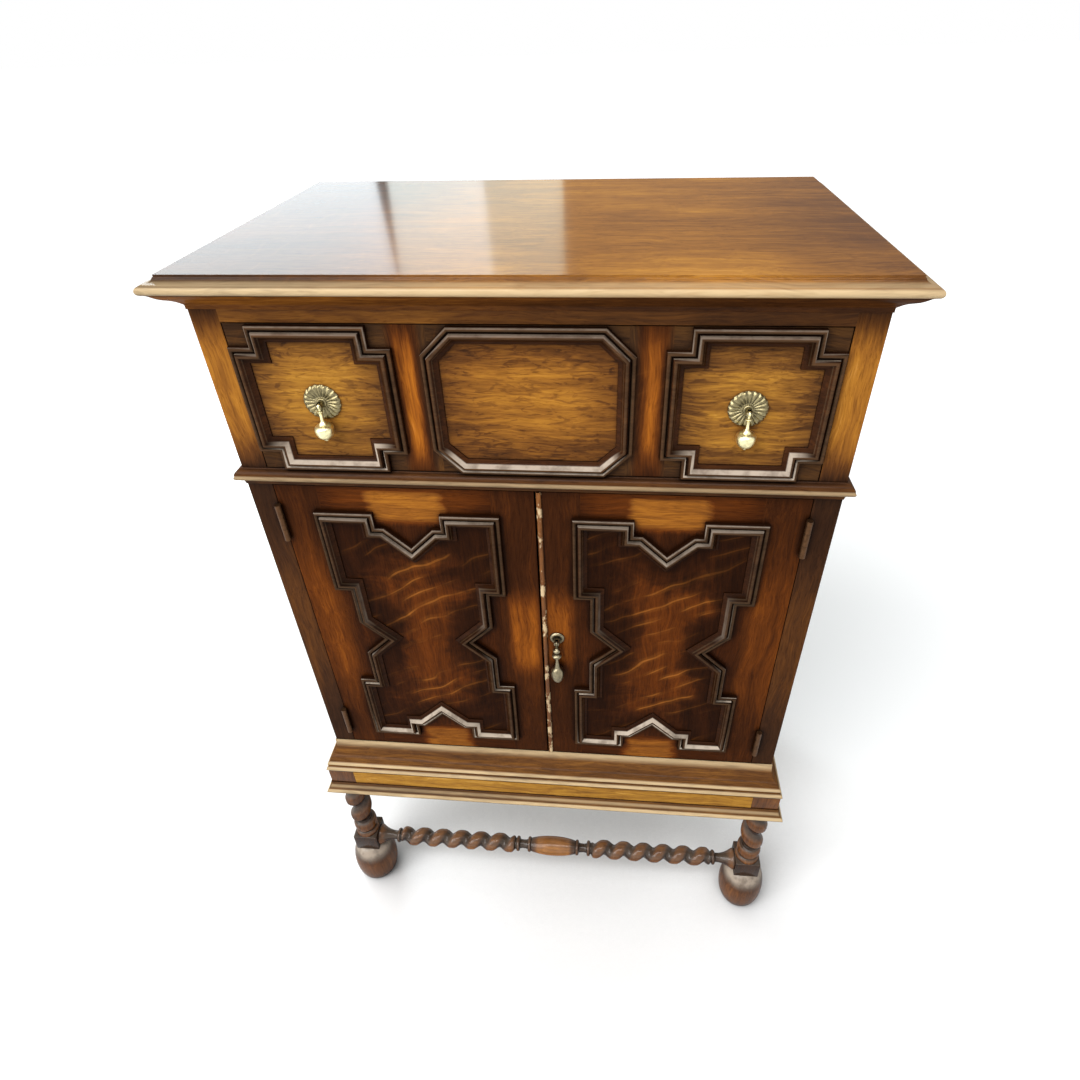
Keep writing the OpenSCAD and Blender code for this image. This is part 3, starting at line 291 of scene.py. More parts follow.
def oak(
    name, grain, tone, red=0.0, shine=0.12, rough=0.3, rays=0.0, shift=0.0, pale=None,
    rub=0.16, painted_shade=0.20, dust_and_sheen=0.0, bold=1.0, other=None,
):
    paint = bpy.data.materials.new(name)
    paint.use_nodes = True
    tree = paint.node_tree
    shader = tree.nodes["Principled BSDF"]
    position = place(tree)
    split = add(tree, "ShaderNodeSeparateXYZ", {0: position}).outputs
    laid = lay(tree, split, grain)
    if other:
        links = {0: other[0](tree, *split), 4: laid, 5: lay(tree, split, other[1])}
        laid = add(tree, "ShaderNodeMix", links, data_type="VECTOR").outputs[1]
    away = (shift, shift * 0.37, shift * 0.71)
    moved = add(tree, "ShaderNodeVectorMath", {0: laid, 1: away}).outputs[0]
    grown = add(tree, "ShaderNodeGroup", node_tree=figure)
    tree.links.new(moved, grown.inputs["Vector"])
    worn_and_shaded = add(tree, "ShaderNodeGroup", node_tree=wear_and_shade).outputs
    coloured = add(tree, "ShaderNodeGroup", node_tree=tones)
    level = tone(tree, *split) if callable(tone) else tone
    patchy = noise(tree, position, (60, 60, 60), 3.0, 0.6)
    level = calc(tree, "MULTIPLY_ADD", times(tree, worn_and_shaded["Edge"], patchy), rub, level)
    # Tight corners darken with dirt and painted shade, and painted shade darkens wood near other parts.
    level = calc(tree, "MULTIPLY_ADD", worn_and_shaded["Corner"], -0.16, level)
    level = calc(tree, "MULTIPLY_ADD", worn_and_shaded["Painted Shade"], -painted_shade, level)
    tree.links.new(level, coloured.inputs["Tone"])
    hue = red(tree, *split) if callable(red) else calc(tree, "ADD", red, 0.0)
    tree.links.new(hue, coloured.inputs["Red"])
    for entry in ("Fibre", "Pores"):
        tree.links.new(grown.outputs[entry], coloured.inputs[entry])
    strength = calc(tree, "MULTIPLY_ADD", grown.outputs["Bands"], bold, 0.5 - 0.5 * bold)
    tree.links.new(strength, coloured.inputs["Bands"])
    flecks = rays(tree, *split) if callable(rays) else rays
    tree.links.new(calc(tree, "MULTIPLY", grown.outputs["Rays"], flecks), coloured.inputs["Rays"])
    colour = coloured.outputs["Color"]
    # A pale mask paints rubbed and chipped wood, and on ridges and noses also a painted highlight.
    if pale:
        broken = smooth(tree, grown.outputs["Bands"], 0.30, 0.62, 0.55, 1.0)
        rubbed_and_highlit = times(tree, pale(tree, *split), broken)
        colour = mix_colour(tree, rubbed_and_highlit, colour, rubbed_and_highlit_wood)
    # Upward faces are painted paler, both as dust and as painted highlight.
    if dust_and_sheen:
        dust_and_sheen_share = dust_and_sheen(tree, *split) if callable(dust_and_sheen) else dust_and_sheen
        normal = add(tree, "ShaderNodeNewGeometry").outputs["Normal"]
        upward = add(tree, "ShaderNodeSeparateXYZ", {0: normal}).outputs[2]
        broken = smooth(tree, patchy, 0.3, 0.6, 0.5, 1.0)
        ledge_dust_and_sheen = times(tree, smooth(tree, upward, 0.16, 0.50), broken, dust_and_sheen_share)
        colour = mix_colour(tree, ledge_dust_and_sheen, colour, grey_dust_and_sheen)
    tree.links.new(colour, shader.inputs["Base Color"])
    dull = calc(tree, "MULTIPLY_ADD", patchy, 0.20, rough - 0.10)
    dull = calc(tree, "MULTIPLY_ADD", grown.outputs["Pores"], 0.12, dull)
    tree.links.new(dull, shader.inputs["Roughness"])
    depth = calc(tree, "MULTIPLY_ADD", grown.outputs["Pores"], -0.6, grown.outputs["Fibre"])
    links = {"Height": depth, "Strength": 0.12, "Distance": 0.0006, "Normal": worn_and_shaded["Normal"]}
    bump = add(tree, "ShaderNodeBump", links).outputs[0]
    tree.links.new(bump, shader.inputs["Normal"])
    tree.links.new(worn_and_shaded["Normal"], shader.inputs["Coat Normal"])
    shader.inputs["Specular IOR Level"].default_value = 0.0
    shader.inputs["Coat Weight"].default_value = shine
    shader.inputs["Coat Roughness"].default_value = rough
    return paint


def dress(names, paint):
    for name in names.split():
        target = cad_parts[name]
        target.data.materials.clear()
        target.data.materials.append(paint)


# Top board: one wide board, deep red brown, with the highest polish of the whole cabinet and a
# moulded edge painted pale along its nose and cove, as rubbed wear and as painted highlight. Its CAD
# mesh is loose flat triangles, so a merged copy with smooth shading stands for it, as for the
# mouldings further on.
def smooth_copy(name, body, paint):
    piece = bpy.data.objects.new("smooth_" + name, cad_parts[name].data.copy())
    bpy.context.collection.objects.link(piece)
    bpy.ops.object.select_all(action="DESELECT")
    piece.select_set(True)
    bpy.context.view_layer.objects.active = piece
    bpy.ops.object.mode_set(mode="EDIT")
    bpy.ops.mesh.select_all(action="SELECT")
    bpy.ops.mesh.remove_doubles(threshold=0.00001)
    bpy.ops.mesh.dissolve_limited(angle_limit=math.radians(0.4))
    bpy.ops.object.mode_set(mode="OBJECT")
    bpy.ops.object.shade_smooth_by_angle(angle=math.radians(32))
    bpy.ops.object.modifier_add(type="WEIGHTED_NORMAL")
    piece.modifiers[-1].keep_sharp = True
    bpy.ops.object.modifier_apply(modifier=piece.modifiers[-1].name)
    piece.data.materials.clear()
    piece.data.materials.append(paint)
    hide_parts(name)
    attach(piece, body)


top_low, top_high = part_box("top_board")


def top_tone(tree, x, y, z):
    clouds = noise(tree, place(tree), (3.2, 7, 7), 4.0, 0.6)
    mottled = smooth(tree, clouds, 0.30, 0.75, 0.54, 0.80)
    right_end = smooth(tree, x, 0.14, 0.36, 1.0, 0.62)
    left_end = smooth(tree, x, -0.26, -0.02, 0.36, 1.0)
    flat = smooth(tree, z, top_high.z - 0.0035, top_high.z - 0.0010, 0.84, 1.0)
    return times(tree, mottled, right_end, left_end, flat)


# Painted highlight and rubbing along the nose and cove of the moulded edge.
def top_rubbed_and_highlit(tree, x, y, z):
    nose = band(tree, z, top_low.z + 0.0055, 0.0024, 0.0024)
    cove = calc(tree, "MULTIPLY", band(tree, z, top_low.z + 0.0120, 0.0016, 0.0020), 0.55)
    front = smooth(tree, y, top_low.y + 0.0127, top_low.y + 0.0082)
    end = smooth(tree, calc(tree, "ABSOLUTE", x), top_high.x - 0.0130, top_high.x - 0.0085)
    return times(tree, highest(tree, nose, cove), highest(tree, front, end), 0.9)


top_oak = oak(
    "top_oak", "x", top_tone, red=0.26, shine=0.18, rough=0.12, rays=0.06, shift=1.3, pale=top_rubbed_and_highlit,
    bold=0.55,
)
smooth_copy("top_board", "carcass", top_oak)


# Posts, rails and side panels: the oak frame of the case, joined with tenons. The posts are dark
# at the joints and warmer in the middle of each length, and the panels lie in grooves.
def post_tone(tree, x, y, z):
    upper = band(tree, z, 0.950, 0.030, 0.080)
    lower = band(tree, z, 0.610, 0.03, 0.16)
    return calc(tree, "MULTIPLY_ADD", upper, 0.58, calc(tree, "MULTIPLY_ADD", lower, 0.15, 0.12))


def frieze_tone(tree, x, y, z):
    return smooth(tree, x, -0.30, 0.32, 0.50, 0.24)


dress("left_front_post right_front_post", oak("post_oak", "z", post_tone, red=0.4, shine=0.08, shift=4.1))
dress("left_back_post right_back_post", oak("back_post_oak", "z", tone=0.30, red=0.4, shift=7.7))
dress("frieze_rail", oak("frieze_oak", "x", frieze_tone, red=0.35, shift=2.9, painted_shade=0.04))
dress("waist_rail bottom_rail", oak("rail_oak", "x", tone=0.24, red=0.3, shift=5.3))
dress("side_rails", oak("side_rail_oak", "y", tone=0.32, red=0.5, shift=3.7))
side_panel_oak = oak(
    "side_panel_oak", "z on a side", tone=0.34, red=0.6, shine=0.10, rough=0.34, rays=0.3, shift=8.9
)
dress("side_panels", side_panel_oak)


# Cabinet mouldings: lengths of run moulding, mitred at the front corners, with the grain along
# each length. Dirt and painted shade make them nearly black in the hollows, and their ridges are
# painted pale, as rubbed wear and as painted highlight.
half_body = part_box("right_front_post")[1].x
front_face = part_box("frieze_rail")[0].y
waist_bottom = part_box("waist_moulding")[0].z
cap_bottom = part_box("plinth_cap_moulding")[0].z
cap_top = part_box("plinth_cap_moulding")[1].z
base_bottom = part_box("plinth_base_moulding")[0].z


def on_return(tree, x, y, z):
    beside = calc(tree, "SUBTRACT", calc(tree, "ABSOLUTE", x), half_body)
    return calc(tree, "GREATER_THAN", calc(tree, "ADD", beside, y), front_face)


# The pale bands paint rubbed wear and painted highlight on noses, beads and the cap's cove.
def waist_rubbed_and_highlit(tree, x, y, z):
    nose = band(tree, z, waist_bottom + 0.0110, 0.0018, 0.0018)
    return calc(tree, "MULTIPLY", nose, 0.45)


def cap_rubbed_and_highlit(tree, x, y, z):
    lip = band(tree, z, cap_bottom + 0.0062, 0.0016, 0.0016)
    bead = band(tree, z, cap_bottom + 0.0162, 0.0012, 0.0016)
    cove = calc(tree, "MULTIPLY", smooth(tree, z, cap_top - 0.017, cap_top - 0.003), 0.85)
    return calc(tree, "MULTIPLY", highest(tree, lip, bead, cove), 0.92)


def base_rubbed_and_highlit(tree, x, y, z):
    nose = band(tree, z, base_bottom + 0.0065, 0.0016, 0.0018)
    top = calc(tree, "MULTIPLY", band(tree, z, base_bottom + 0.0140, 0.0010, 0.003), 0.5)
    return calc(tree, "MULTIPLY", highest(tree, nose, top), 0.92)


def bed_tone(tree, x, y, z):
    return smooth(tree, x, -0.30, 0.30, 0.50, 0.26)


def moulding_oak(name, tone, red, shine, shift, pale=None):
    returns = (on_return, "y")
    return oak(name, "x", tone, red, shine, rough=0.26, shift=shift, pale=pale, other=returns)


bed_oak = moulding_oak("bed_oak", bed_tone, red=0.5, shine=0.10, shift=1.9)
waist_oak = moulding_oak("waist_oak", tone=0.27, red=0.3, shine=0.12, shift=6.1, pale=waist_rubbed_and_highlit)
cap_oak = moulding_oak("cap_oak", tone=0.40, red=0.2, shine=0.16, shift=9.3, pale=cap_rubbed_and_highlit)
base_oak = moulding_oak("base_oak", tone=0.34, red=0.1, shine=0.16, shift=0.7, pale=base_rubbed_and_highlit)
smooth_copy("bed_moulding", "carcass", bed_oak)
smooth_copy("waist_moulding", "carcass", waist_oak)
smooth_copy("plinth_cap_moulding", "carcass", cap_oak)
smooth_copy("plinth_base_moulding", "carcass", base_oak)


# Drawer: an oak front with three golden fields, each darkening only near its edges, upright
# dividers of orange oak between them, and mitred mouldings glued round the fields.
def middle(node):
    low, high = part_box(node)
    return (low + high) / 2


drawer_mid = middle("drawer_front").z
handle_across = middle("right_handle_plate").x
divider_across = 0.118


def rounded(tree, across, up, half_across, half_up):
    squareness = 3.0
    sideways = calc(tree, "ABSOLUTE", calc(tree, "DIVIDE", across, half_across))
    upwards = calc(tree, "ABSOLUTE", calc(tree, "DIVIDE", up, half_up))
    sideways = calc(tree, "POWER", sideways, squareness)
    upwards = calc(tree, "POWER", upwards, squareness)
    return calc(tree, "POWER", calc(tree, "ADD", sideways, upwards), 1 / squareness)


def on_field(tree, y):
    return calc(tree, "LESS_THAN", y, front_face - 0.0004)


def drawer_tone(tree, x, y, z):
    up = calc(tree, "SUBTRACT", z, drawer_mid)
    side = calc(tree, "ABSOLUTE", x)
    square = rounded(tree, calc(tree, "SUBTRACT", side, handle_across), up, 0.068, 0.068)
    octagon = rounded(tree, x, up, 0.090, 0.068)
    nearest = calc(tree, "MINIMUM", square, octagon)
    ragged = noise(tree, place(tree), (24, 30, 80), 4.0, 0.65)
    nearest = calc(tree, "MULTIPLY_ADD", ragged, 0.56, calc(tree, "SUBTRACT", nearest, 0.28))
    field = smooth(tree, nearest, 0.36, 1.06, 0.67, 0.38)
    grain = noise(tree, place(tree), (42, 42, 150), 3.0, 0.6, 1.4)
    field = calc(tree, "ADD", field, smooth(tree, grain, 0.52, 0.66, 0.0, -0.16))
    strip = band(tree, side, divider_across, 0.003, 0.010)
    strip = times(tree, strip, band(tree, up, 0.004, 0.045, 0.040))
    side_share = smooth(tree, x, -0.10, 0.10, 0.46, 0.34)
    ground = calc(tree, "MULTIPLY_ADD", strip, side_share, 0.23)
    return mix(tree, on_field(tree, y), ground, field)


def drawer_red(tree, x, y, z):
    field = smooth(tree, calc(tree, "ABSOLUTE", x), 0.10, 0.13, 0.30, 0.12)
    strip = band(tree, calc(tree, "ABSOLUTE", x), divider_across, 0.010, 0.010)
    return mix(tree, on_field(tree, y), calc(tree, "MULTIPLY", strip, 0.85), field)


# Rubbed wear and a faint painted highlight on the roll and bead crests.
def frame_rubbed_and_highlit(tree, x, y, z):
    proud = calc(tree, "SUBTRACT", front_face, y)
    roll = smooth(tree, proud, 0.0080, 0.0089)
    bead = band(tree, proud, 0.0059, 0.0003, 0.0006)
    return calc(tree, "MULTIPLY", highest(tree, roll, bead), 0.05)


def on_crests(tree, y):
    return smooth(tree, calc(tree, "SUBTRACT", front_face, y), 0.0041, 0.0052)


# Dust and painted highlight on the upward crests, stronger on the lower runs.
def drawer_dust_and_sheen(tree, x, y, z):
    return times(tree, smooth(tree, z, 0.97, 0.90, 0.26, 0.90), on_crests(tree, y))


def on_divider(tree, x, y, z):
    return band(tree, calc(tree, "ABSOLUTE", x), 0.1150, 0.020, 0.0001)


def frame_oak(name, tone, red, shift, dust_and_sheen):
    return oak(
        name, "x", tone, red, shine=0.08, rough=0.2, shift=shift, pale=frame_rubbed_and_highlit, rub=0.08, dust_and_sheen=dust_and_sheen
    )


drawer_frame = frame_oak("drawer_frame_oak", tone=0.17, red=0.6, shift=4.7, dust_and_sheen=drawer_dust_and_sheen)
drawer_oak = oak(
    "drawer_oak", "x", drawer_tone, drawer_red, shine=0.07, rough=0.3, rays=0.06, shift=3.3,
    painted_shade=0.03, bold=1.25, other=(on_divider, "z"),
)
dress("drawer_front", drawer_oak)
for frame_piece in ("left_drawer_moulding", "centre_drawer_moulding", "right_drawer_moulding"):
    smooth_copy(frame_piece, "drawer", drawer_frame)


# Doors: oak frames with figured red-brown panels and pale rays. The polish is rubbed back to gold
# between the shoulders of the figure, below its point and along the stiles. The panels lie in
# grooves, the mitred moulding is glued on, and a chipped bead covers the meeting edges.
door_mid = middle("right_door_moulding").x
panel_mid = middle("right_door_moulding").z


def rail_gold(tree, x, y, z):
    side = calc(tree, "ABSOLUTE", calc(tree, "SUBTRACT", calc(tree, "ABSOLUTE", x), door_mid))
    grain = noise(tree, place(tree), (40, 40, 90), 3.0, 0.6)
    side = calc(tree, "ADD", side, calc(tree, "MULTIPLY_ADD", grain, 0.020, -0.010))
    top = times(tree, smooth(tree, side, 0.034, 0.054, 1.0, 0.0), smooth(tree, z, 0.780, 0.797))
    top = times(tree, top, smooth(tree, z, 0.834, 0.826))
    low = times(tree, smooth(tree, side, 0.024, 0.044, 1.0, 0.0), smooth(tree, z, 0.425, 0.405))
    shoulders = times(tree, smooth(tree, side, 0.11, 0.06), smooth(tree, z, 0.79, 0.81))
    gold = highest(tree, calc(tree, "MULTIPLY", low, 0.75), top)
    gold = highest(tree, calc(tree, "MULTIPLY", shoulders, 0.34), gold)
    return times(tree, gold, calc(tree, "LESS_THAN", y, front_face + 0.002))


def rail_tone(tree, x, y, z):
    return calc(tree, "MULTIPLY_ADD", rail_gold(tree, x, y, z), 0.47, 0.17)


def rail_red(tree, x, y, z):
    return smooth(tree, rail_gold(tree, x, y, z), 0.2, 0.9, 1.0, 0.55)


def stile_tone(tree, x, y, z):
    side = calc(tree, "ABSOLUTE", x)
    inner = times(tree, band(tree, side, 0.020, 0.010, 0.016), band(tree, z, 0.615, 0.035, 0.055))
    outer = times(tree, smooth(tree, side, 0.235, 0.262), band(tree, z, 0.62, 0.06, 0.14))
    gold = calc(tree, "MULTIPLY_ADD", inner, 0.34, calc(tree, "MULTIPLY", outer, 0.17))
    return calc(tree, "MULTIPLY_ADD", gold, calc(tree, "LESS_THAN", y, front_face + 0.002), 0.17)


def panel_heart(tree, x, z):
    side = calc(tree, "SUBTRACT", calc(tree, "ABSOLUTE", x), door_mid)
    up = calc(tree, "SUBTRACT", z, panel_mid)
    clouds = noise(tree, place(tree), (16, 16, 22), 3.0, 0.62, 0.8)
    waisted = calc(tree, "MULTIPLY_ADD", band(tree, up, 0.004, 0.020, 0.060), 0.95, 1.0)
    edge = rounded(tree, times(tree, side, waisted), up, 0.094, 0.190)
    edge = calc(tree, "MULTIPLY_ADD", clouds, 1.0, calc(tree, "SUBTRACT", edge, 0.50))
    return smooth(tree, edge, 0.34, 0.90, 1.0, 0.0)


def panel_tone(tree, x, y, z):
    field = calc(tree, "MULTIPLY_ADD", panel_heart(tree, x, z), 0.25, 0.04)
    return mix(tree, on_field(tree, y), rail_tone(tree, x, y, z), field)


def panel_red(tree, x, y, z):
    return mix(tree, on_field(tree, y), rail_red(tree, x, y, z), 1.0)


def panel_rays(tree, x, y, z):
    heart = calc(tree, "MULTIPLY_ADD", panel_heart(tree, x, z), 0.62, 0.12)
    return times(tree, on_field(tree, y), heart)


# Dust and painted highlight on the upward crests, stronger on the lower runs.
def door_dust_and_sheen(tree, x, y, z):
    return times(tree, smooth(tree, z, 0.76, 0.72, 0.36, 1.0), on_crests(tree, y))


def chipped(tree, x, y, z):
    flakes = noise(tree, place(tree), (60, 60, 34), 3.0, 0.7)
    return smooth(tree, flakes, 0.52, 0.60)


door_rail_oak = oak("door_rail_oak", "x", rail_tone, rail_red, shine=0.05, shift=6.7, painted_shade=0.3)
door_stile_oak = oak("door_stile_oak", "z", stile_tone, red=0.9, shine=0.05, shift=2.1, painted_shade=0.3)
door_frame = frame_oak("door_frame_oak", tone=0.11, red=0.7, shift=8.3, dust_and_sheen=door_dust_and_sheen)
bead_oak = oak("bead_oak", "z", tone=0.40, red=0.5, shine=0.4, rough=0.26, shift=1.1, pale=chipped)
for door, shift in (("left_door", 5.9), ("right_door", 7.3)):
    panel_oak = oak(
        door.replace("door", "panel_oak"), "z", panel_tone, panel_red, shine=0.06, rays=panel_rays,
        shift=shift, painted_shade=0.3,
    )
    dress(door + "_panel", panel_oak)
    dress(door + "_rails", door_rail_oak)
    dress(door + "_stiles", door_stile_oak)
    smooth_copy(door + "_moulding", door, door_frame)
smooth_copy("right_door_bead", "right_door", bead_oak)


# Stand: golden rails tenoned between the darker square tops of the legs, and two plain square legs
# at the back, out of sight.
dress("plinth_front", oak("stand_oak", "x", tone=0.72, shine=0.08, rough=0.28, shift=3.9, bold=1.2))
dress("plinth_sides", oak("stand_side_oak", "y", tone=0.66, shine=0.08, rough=0.28, shift=5.9, bold=1.2))
dress("plinth_back", oak("stand_back_oak", "x", tone=0.34, red=0.1, shift=9.9))
dress("left_back_leg right_back_leg", oak("back_leg_oak", "z", tone=0.34, red=0.2, shift=6.3))


# Front legs: each is turned in oak from the bulb foot up, with a square block for the stretcher, a
# barley twist with one groove, and a square top that the rails of the stand are tenoned into.
# A turned profile is a row of radii and heights in millimetres.
leg_across = 0.319
leg_forward = front_face + 0.001
leg_width = 0.039
block_low = 0.086
block_high = 0.122
twist_low = 0.160
twist_length = 0.100
stand_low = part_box("plinth_front")[0].z
leg_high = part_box("left_front_leg")[1].z


def arc_points(across, up, half_across, half_up, start, end, count):
    turns = [math.radians(start + (end - start) * step / count) for step in range(count + 1)]
    return [(across + half_across * math.cos(turn), up + half_up * math.sin(turn)) for turn in turns]


def first_ring(radius, height, sides):
    bpy.ops.object.select_all(action="DESELECT")
    bpy.ops.mesh.primitive_circle_add(
        vertices=sides, radius=radius, fill_type="NGON", location=(0, 0, height)
    )
    bpy.ops.object.transform_apply(location=True)
    bpy.ops.object.mode_set(mode="EDIT")
    bpy.ops.mesh.select_all(action="SELECT")
    return bpy.context.object


def finish_turning():
    bpy.ops.mesh.select_all(action="SELECT")
    bpy.ops.mesh.normals_make_consistent(inside=False)
    bpy.ops.object.mode_set(mode="OBJECT")
    bpy.ops.object.shade_smooth_by_angle(angle=math.radians(38))


def turned(profile, sides=56):
    points = [(0.001 * across, 0.001 * up) for across, up in profile]
    piece = first_ring(points[0][0], points[0][1], sides)
    for (old, low), (new, high) in zip(points, points[1:]):
        bpy.ops.mesh.extrude_region_move(TRANSFORM_OT_translate={"value": (0, 0, high - low)})
        bpy.ops.transform.resize(value=(new / old, new / old, 1), center_override=(0, 0, high))
    finish_turning()
    return piece


def twisted(radius, cut, pitch, length, hand, turn, sides=44, per_turn=26):
    fade = 0.2 * pitch
    groove_sharpness = 1.7
    piece = first_ring(radius, fade, sides)
    mesh = piece.data
    for index in range(sides):
        bpy.ops.mesh.select_all(action="DESELECT")
        bpy.ops.object.mode_set(mode="OBJECT")
        spot = mesh.vertices[index].co
        around = math.atan2(spot.y, spot.x) - hand * turn - hand * math.tau * fade / pitch
        share = 1 - cut / radius * ((1 - math.cos(around)) / 2) ** groove_sharpness
        mesh.vertices[index].select = True
        bpy.ops.object.mode_set(mode="EDIT")
        bpy.ops.transform.resize(value=(share, share, 1), center_override=(0, 0, fade))
    mean = radius - 0.42 * cut
    core = radius - cut - 0.0002

    def climb(low, high, shown, now):
        angle = hand * math.tau * (high - low) / pitch
        bpy.ops.mesh.extrude_region_move(TRANSFORM_OT_translate={"value": (0, 0, high - low)})
        bpy.ops.transform.rotate(value=-angle, orient_axis="Z", center_override=(0, 0, high))
        if now < shown:
            bpy.ops.transform.tosphere(value=1 - now / shown, center_override=(0, 0, high))
            slim = (now * mean + (1 - now) * core) / (shown * mean + (1 - shown) * core)
            bpy.ops.transform.resize(value=(slim, slim, 1), center_override=(0, 0, high))

    def fade_out(start, end):
        level, shown = start, 1.0
        for step in (0.8, 0.6, 0.42, 0.28, 0.16, 0.07, 0.02, 0.0):
            reached = end + (start - end) * step
            now = math.sqrt(1 - (1 - step) ** 2)
            climb(level, reached, shown, now)
            level, shown = reached, now

    bpy.ops.mesh.select_all(action="SELECT")
    steps = round((length - 2 * fade) / pitch * per_turn)
    rise = (length - 2 * fade) / steps
    for step in range(steps):
        climb(fade + step * rise, fade + (step + 1) * rise, 1, 1)
    fade_out(length - fade, length)
    bpy.ops.mesh.select_all(action="DESELECT")
    bpy.ops.object.mode_set(mode="OBJECT")
    for face in mesh.polygons:
        face.select = abs(face.center.z - fade) < 0.000001 and len(face.vertices) == sides
    bpy.ops.object.mode_set(mode="EDIT")
    fade_out(fade, 0)
    finish_turning()
    return piece


def squared(width, low, high, ease=0.0012):
    bpy.ops.object.select_all(action="DESELECT")
    bpy.ops.mesh.primitive_cube_add(size=1, location=(0, 0, (low + high) / 2))
    piece = bpy.context.object
    piece.scale = (width, width, high - low)
    bpy.ops.object.transform_apply(location=True, scale=True)
    bpy.ops.object.modifier_add(type="BEVEL")
    piece.modifiers[-1].width = ease
    piece.modifiers[-1].segments = 3
    bpy.ops.object.modifier_apply(modifier=piece.modifiers[-1].name)
    bpy.ops.object.shade_smooth_by_angle(angle=math.radians(38))
    return piece


def joined(name, parts, place_at, turn=(0, 0, 0)):
    bpy.ops.object.select_all(action="DESELECT")
    for part in parts:
        part.select_set(True)
    bpy.context.view_layer.objects.active = parts[0]
    if len(parts) > 1:
        bpy.ops.object.join()
    whole = bpy.context.object
    whole.name = name
    whole.rotation_euler = turn
    whole.location = place_at
    bpy.ops.object.transform_apply(location=True, rotation=True, scale=False)
    return whole


def stand_in(piece, node, body, paint):
    piece.data.materials.clear()
    piece.data.materials.append(paint)
    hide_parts(node)
    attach(piece, body)


def from_axis(tree, across, y):
    back = calc(tree, "SUBTRACT", y, leg_forward)
    return calc(tree, "SQRT", calc(tree, "ADD", times(tree, across, across), times(tree, back, back)))


# The twist is painted darker down into its groove, as shade, and lightest on its crest.
def leg_tone(tree, x, y, z):
    reach = from_axis(tree, calc(tree, "SUBTRACT", calc(tree, "ABSOLUTE", x), leg_across), y)
    ridge = smooth(tree, reach, 0.0120, 0.0182, 0.05, 0.36)
    above_block = calc(tree, "GREATER_THAN", z, block_high + 0.0005)
    twist = times(tree, above_block, calc(tree, "LESS_THAN", z, stand_low))
    foot = smooth(tree, z, 0.078, 0.050, 0.09, 0.34)
    plain = mix(tree, calc(tree, "GREATER_THAN", z, stand_low - 0.004), foot, 0.36)
    return mix(tree, twist, plain, ridge)


# Dust and painted highlight on the foot's upward shoulder, faint above the block.
def leg_dust_and_sheen(tree, x, y, z):
    return smooth(tree, z, block_low - 0.002, block_low + 0.008, 0.8, 0.12)


leg_oak = oak("leg_oak", "z", leg_tone, red=0.45, shine=0.42, rough=0.17, shift=2.3, dust_and_sheen=leg_dust_and_sheen)
foot_profile = arc_points(25, 38, 10.5, 38, -90, 0, 10) + arc_points(17.5, 38, 18, 48, 0, 90, 10)[1:]
ring_profile = [(18.9, 122.0)] + arc_points(13.4, 122, 5.5, 8, 0, 90, 12)
ring_profile += [(12.8, 130.4), (12.8, 133), (14.2, 133.4)]
ring_profile += [
    (12.8 + 5.7 * math.sin(math.radians(18 + 7.2 * step)), 144 - 10.4 * math.cos(math.radians(9 * step)))
    for step in range(21)
]
ring_profile += [(13.4, 155.2), (12.8, 156.4), (12.8, 160.2)]
for side, hand, node in ((-1, 1, "left_front_leg"), (1, -1, "right_front_leg")):
    twist_start = math.tau * 0.32 + (0 if hand == 1 else math.pi)
    twist = twisted(
        radius=0.0185, cut=0.008, pitch=0.046, length=twist_length, hand=hand, turn=twist_start
    )
    twist = joined("twist", [twist], (0, 0, twist_low))
    parts = [turned(foot_profile), squared(leg_width, block_low, block_high)]
    parts += [turned(ring_profile), twist, turned([(18.5, 259.75), (18.5, 266)])]
    parts.append(squared(leg_width, stand_low, leg_high, ease=0.0006))
    leg = joined("turned_" + node, parts, (side * leg_across, leg_forward, 0))
    stand_in(leg, node, "carcass", leg_oak)


# Front stretcher: a turned oak spindle between two twisted lengths. Each ends in a trumpet, and a
# tenon goes into the block of the leg.
stretcher_up = middle("front_stretcher").z
rope_length = 0.1975
half_spindle_length = 0.064


# The twists are painted darker down into their groove, as shade, and lightest on their crest.
def stretcher_tone(tree, x, y, z):
    reach = from_axis(tree, calc(tree, "SUBTRACT", z, stretcher_up), y)
    twist = smooth(tree, reach, 0.0090, 0.0143, 0.06, 0.40)
    spindle = band(tree, x, 0.0, 0.024, 0.008)
    return mix(tree, spindle, twist, 0.58)


# Its upward faces carry a little dust and painted highlight.
stretcher_oak = oak(
    "stretcher_oak", "x", stretcher_tone, red=0.40, shine=0.5, rough=0.17, shift=5.1, dust_and_sheen=0.12
)
half_spindle = [(15 - 4.6 * (step / 8) ** 2.2, 37 * step / 8) for step in range(9)] + [(8.6, 37.6)]
half_spindle += arc_points(9.2, 40.2, 2.9, 2.9, -60, 60, 8) + [(8, 43.4), (7, 46), (6.6, 52), (7.4, 56)]
half_spindle += arc_points(9, 59.4, 3, 3, -60, 60, 8) + [(8.8, 62.6), (8.8, 64.25)]
trumpet = [(8.8, 261.25), (8.8, 262.5)] + arc_points(8.6, 265.5, 2.8, 2.8, -60, 60, 8) + [(7, 269.5)]
trumpet += [(7 + 9 * (step / 12) ** 2, 271.5 + 25 * step / 12) for step in range(13)]
trumpet += [(16, 297.9), (15.7, 299.5)]
lengths = [turned([(across, -along) for across, along in half_spindle[:0:-1]] + half_spindle)]
lengths = [joined("spindle", lengths, (0, 0, 0), (0, math.radians(90), 0))]
for quarter in (90, -90):
    rope = twisted(
        radius=0.0145, cut=0.0065, pitch=rope_length / 6, length=rope_length, hand=-1, turn=0.0,
        sides=36, per_turn=22,
    )
    rope = joined("rope", [rope], (0, 0, half_spindle_length))
    half = [rope, turned(trumpet), turned([(7, 299), (7, 310)], sides=32)]
    lengths.append(joined("half", half, (0, 0, 0), (0, math.radians(quarter), 0)))
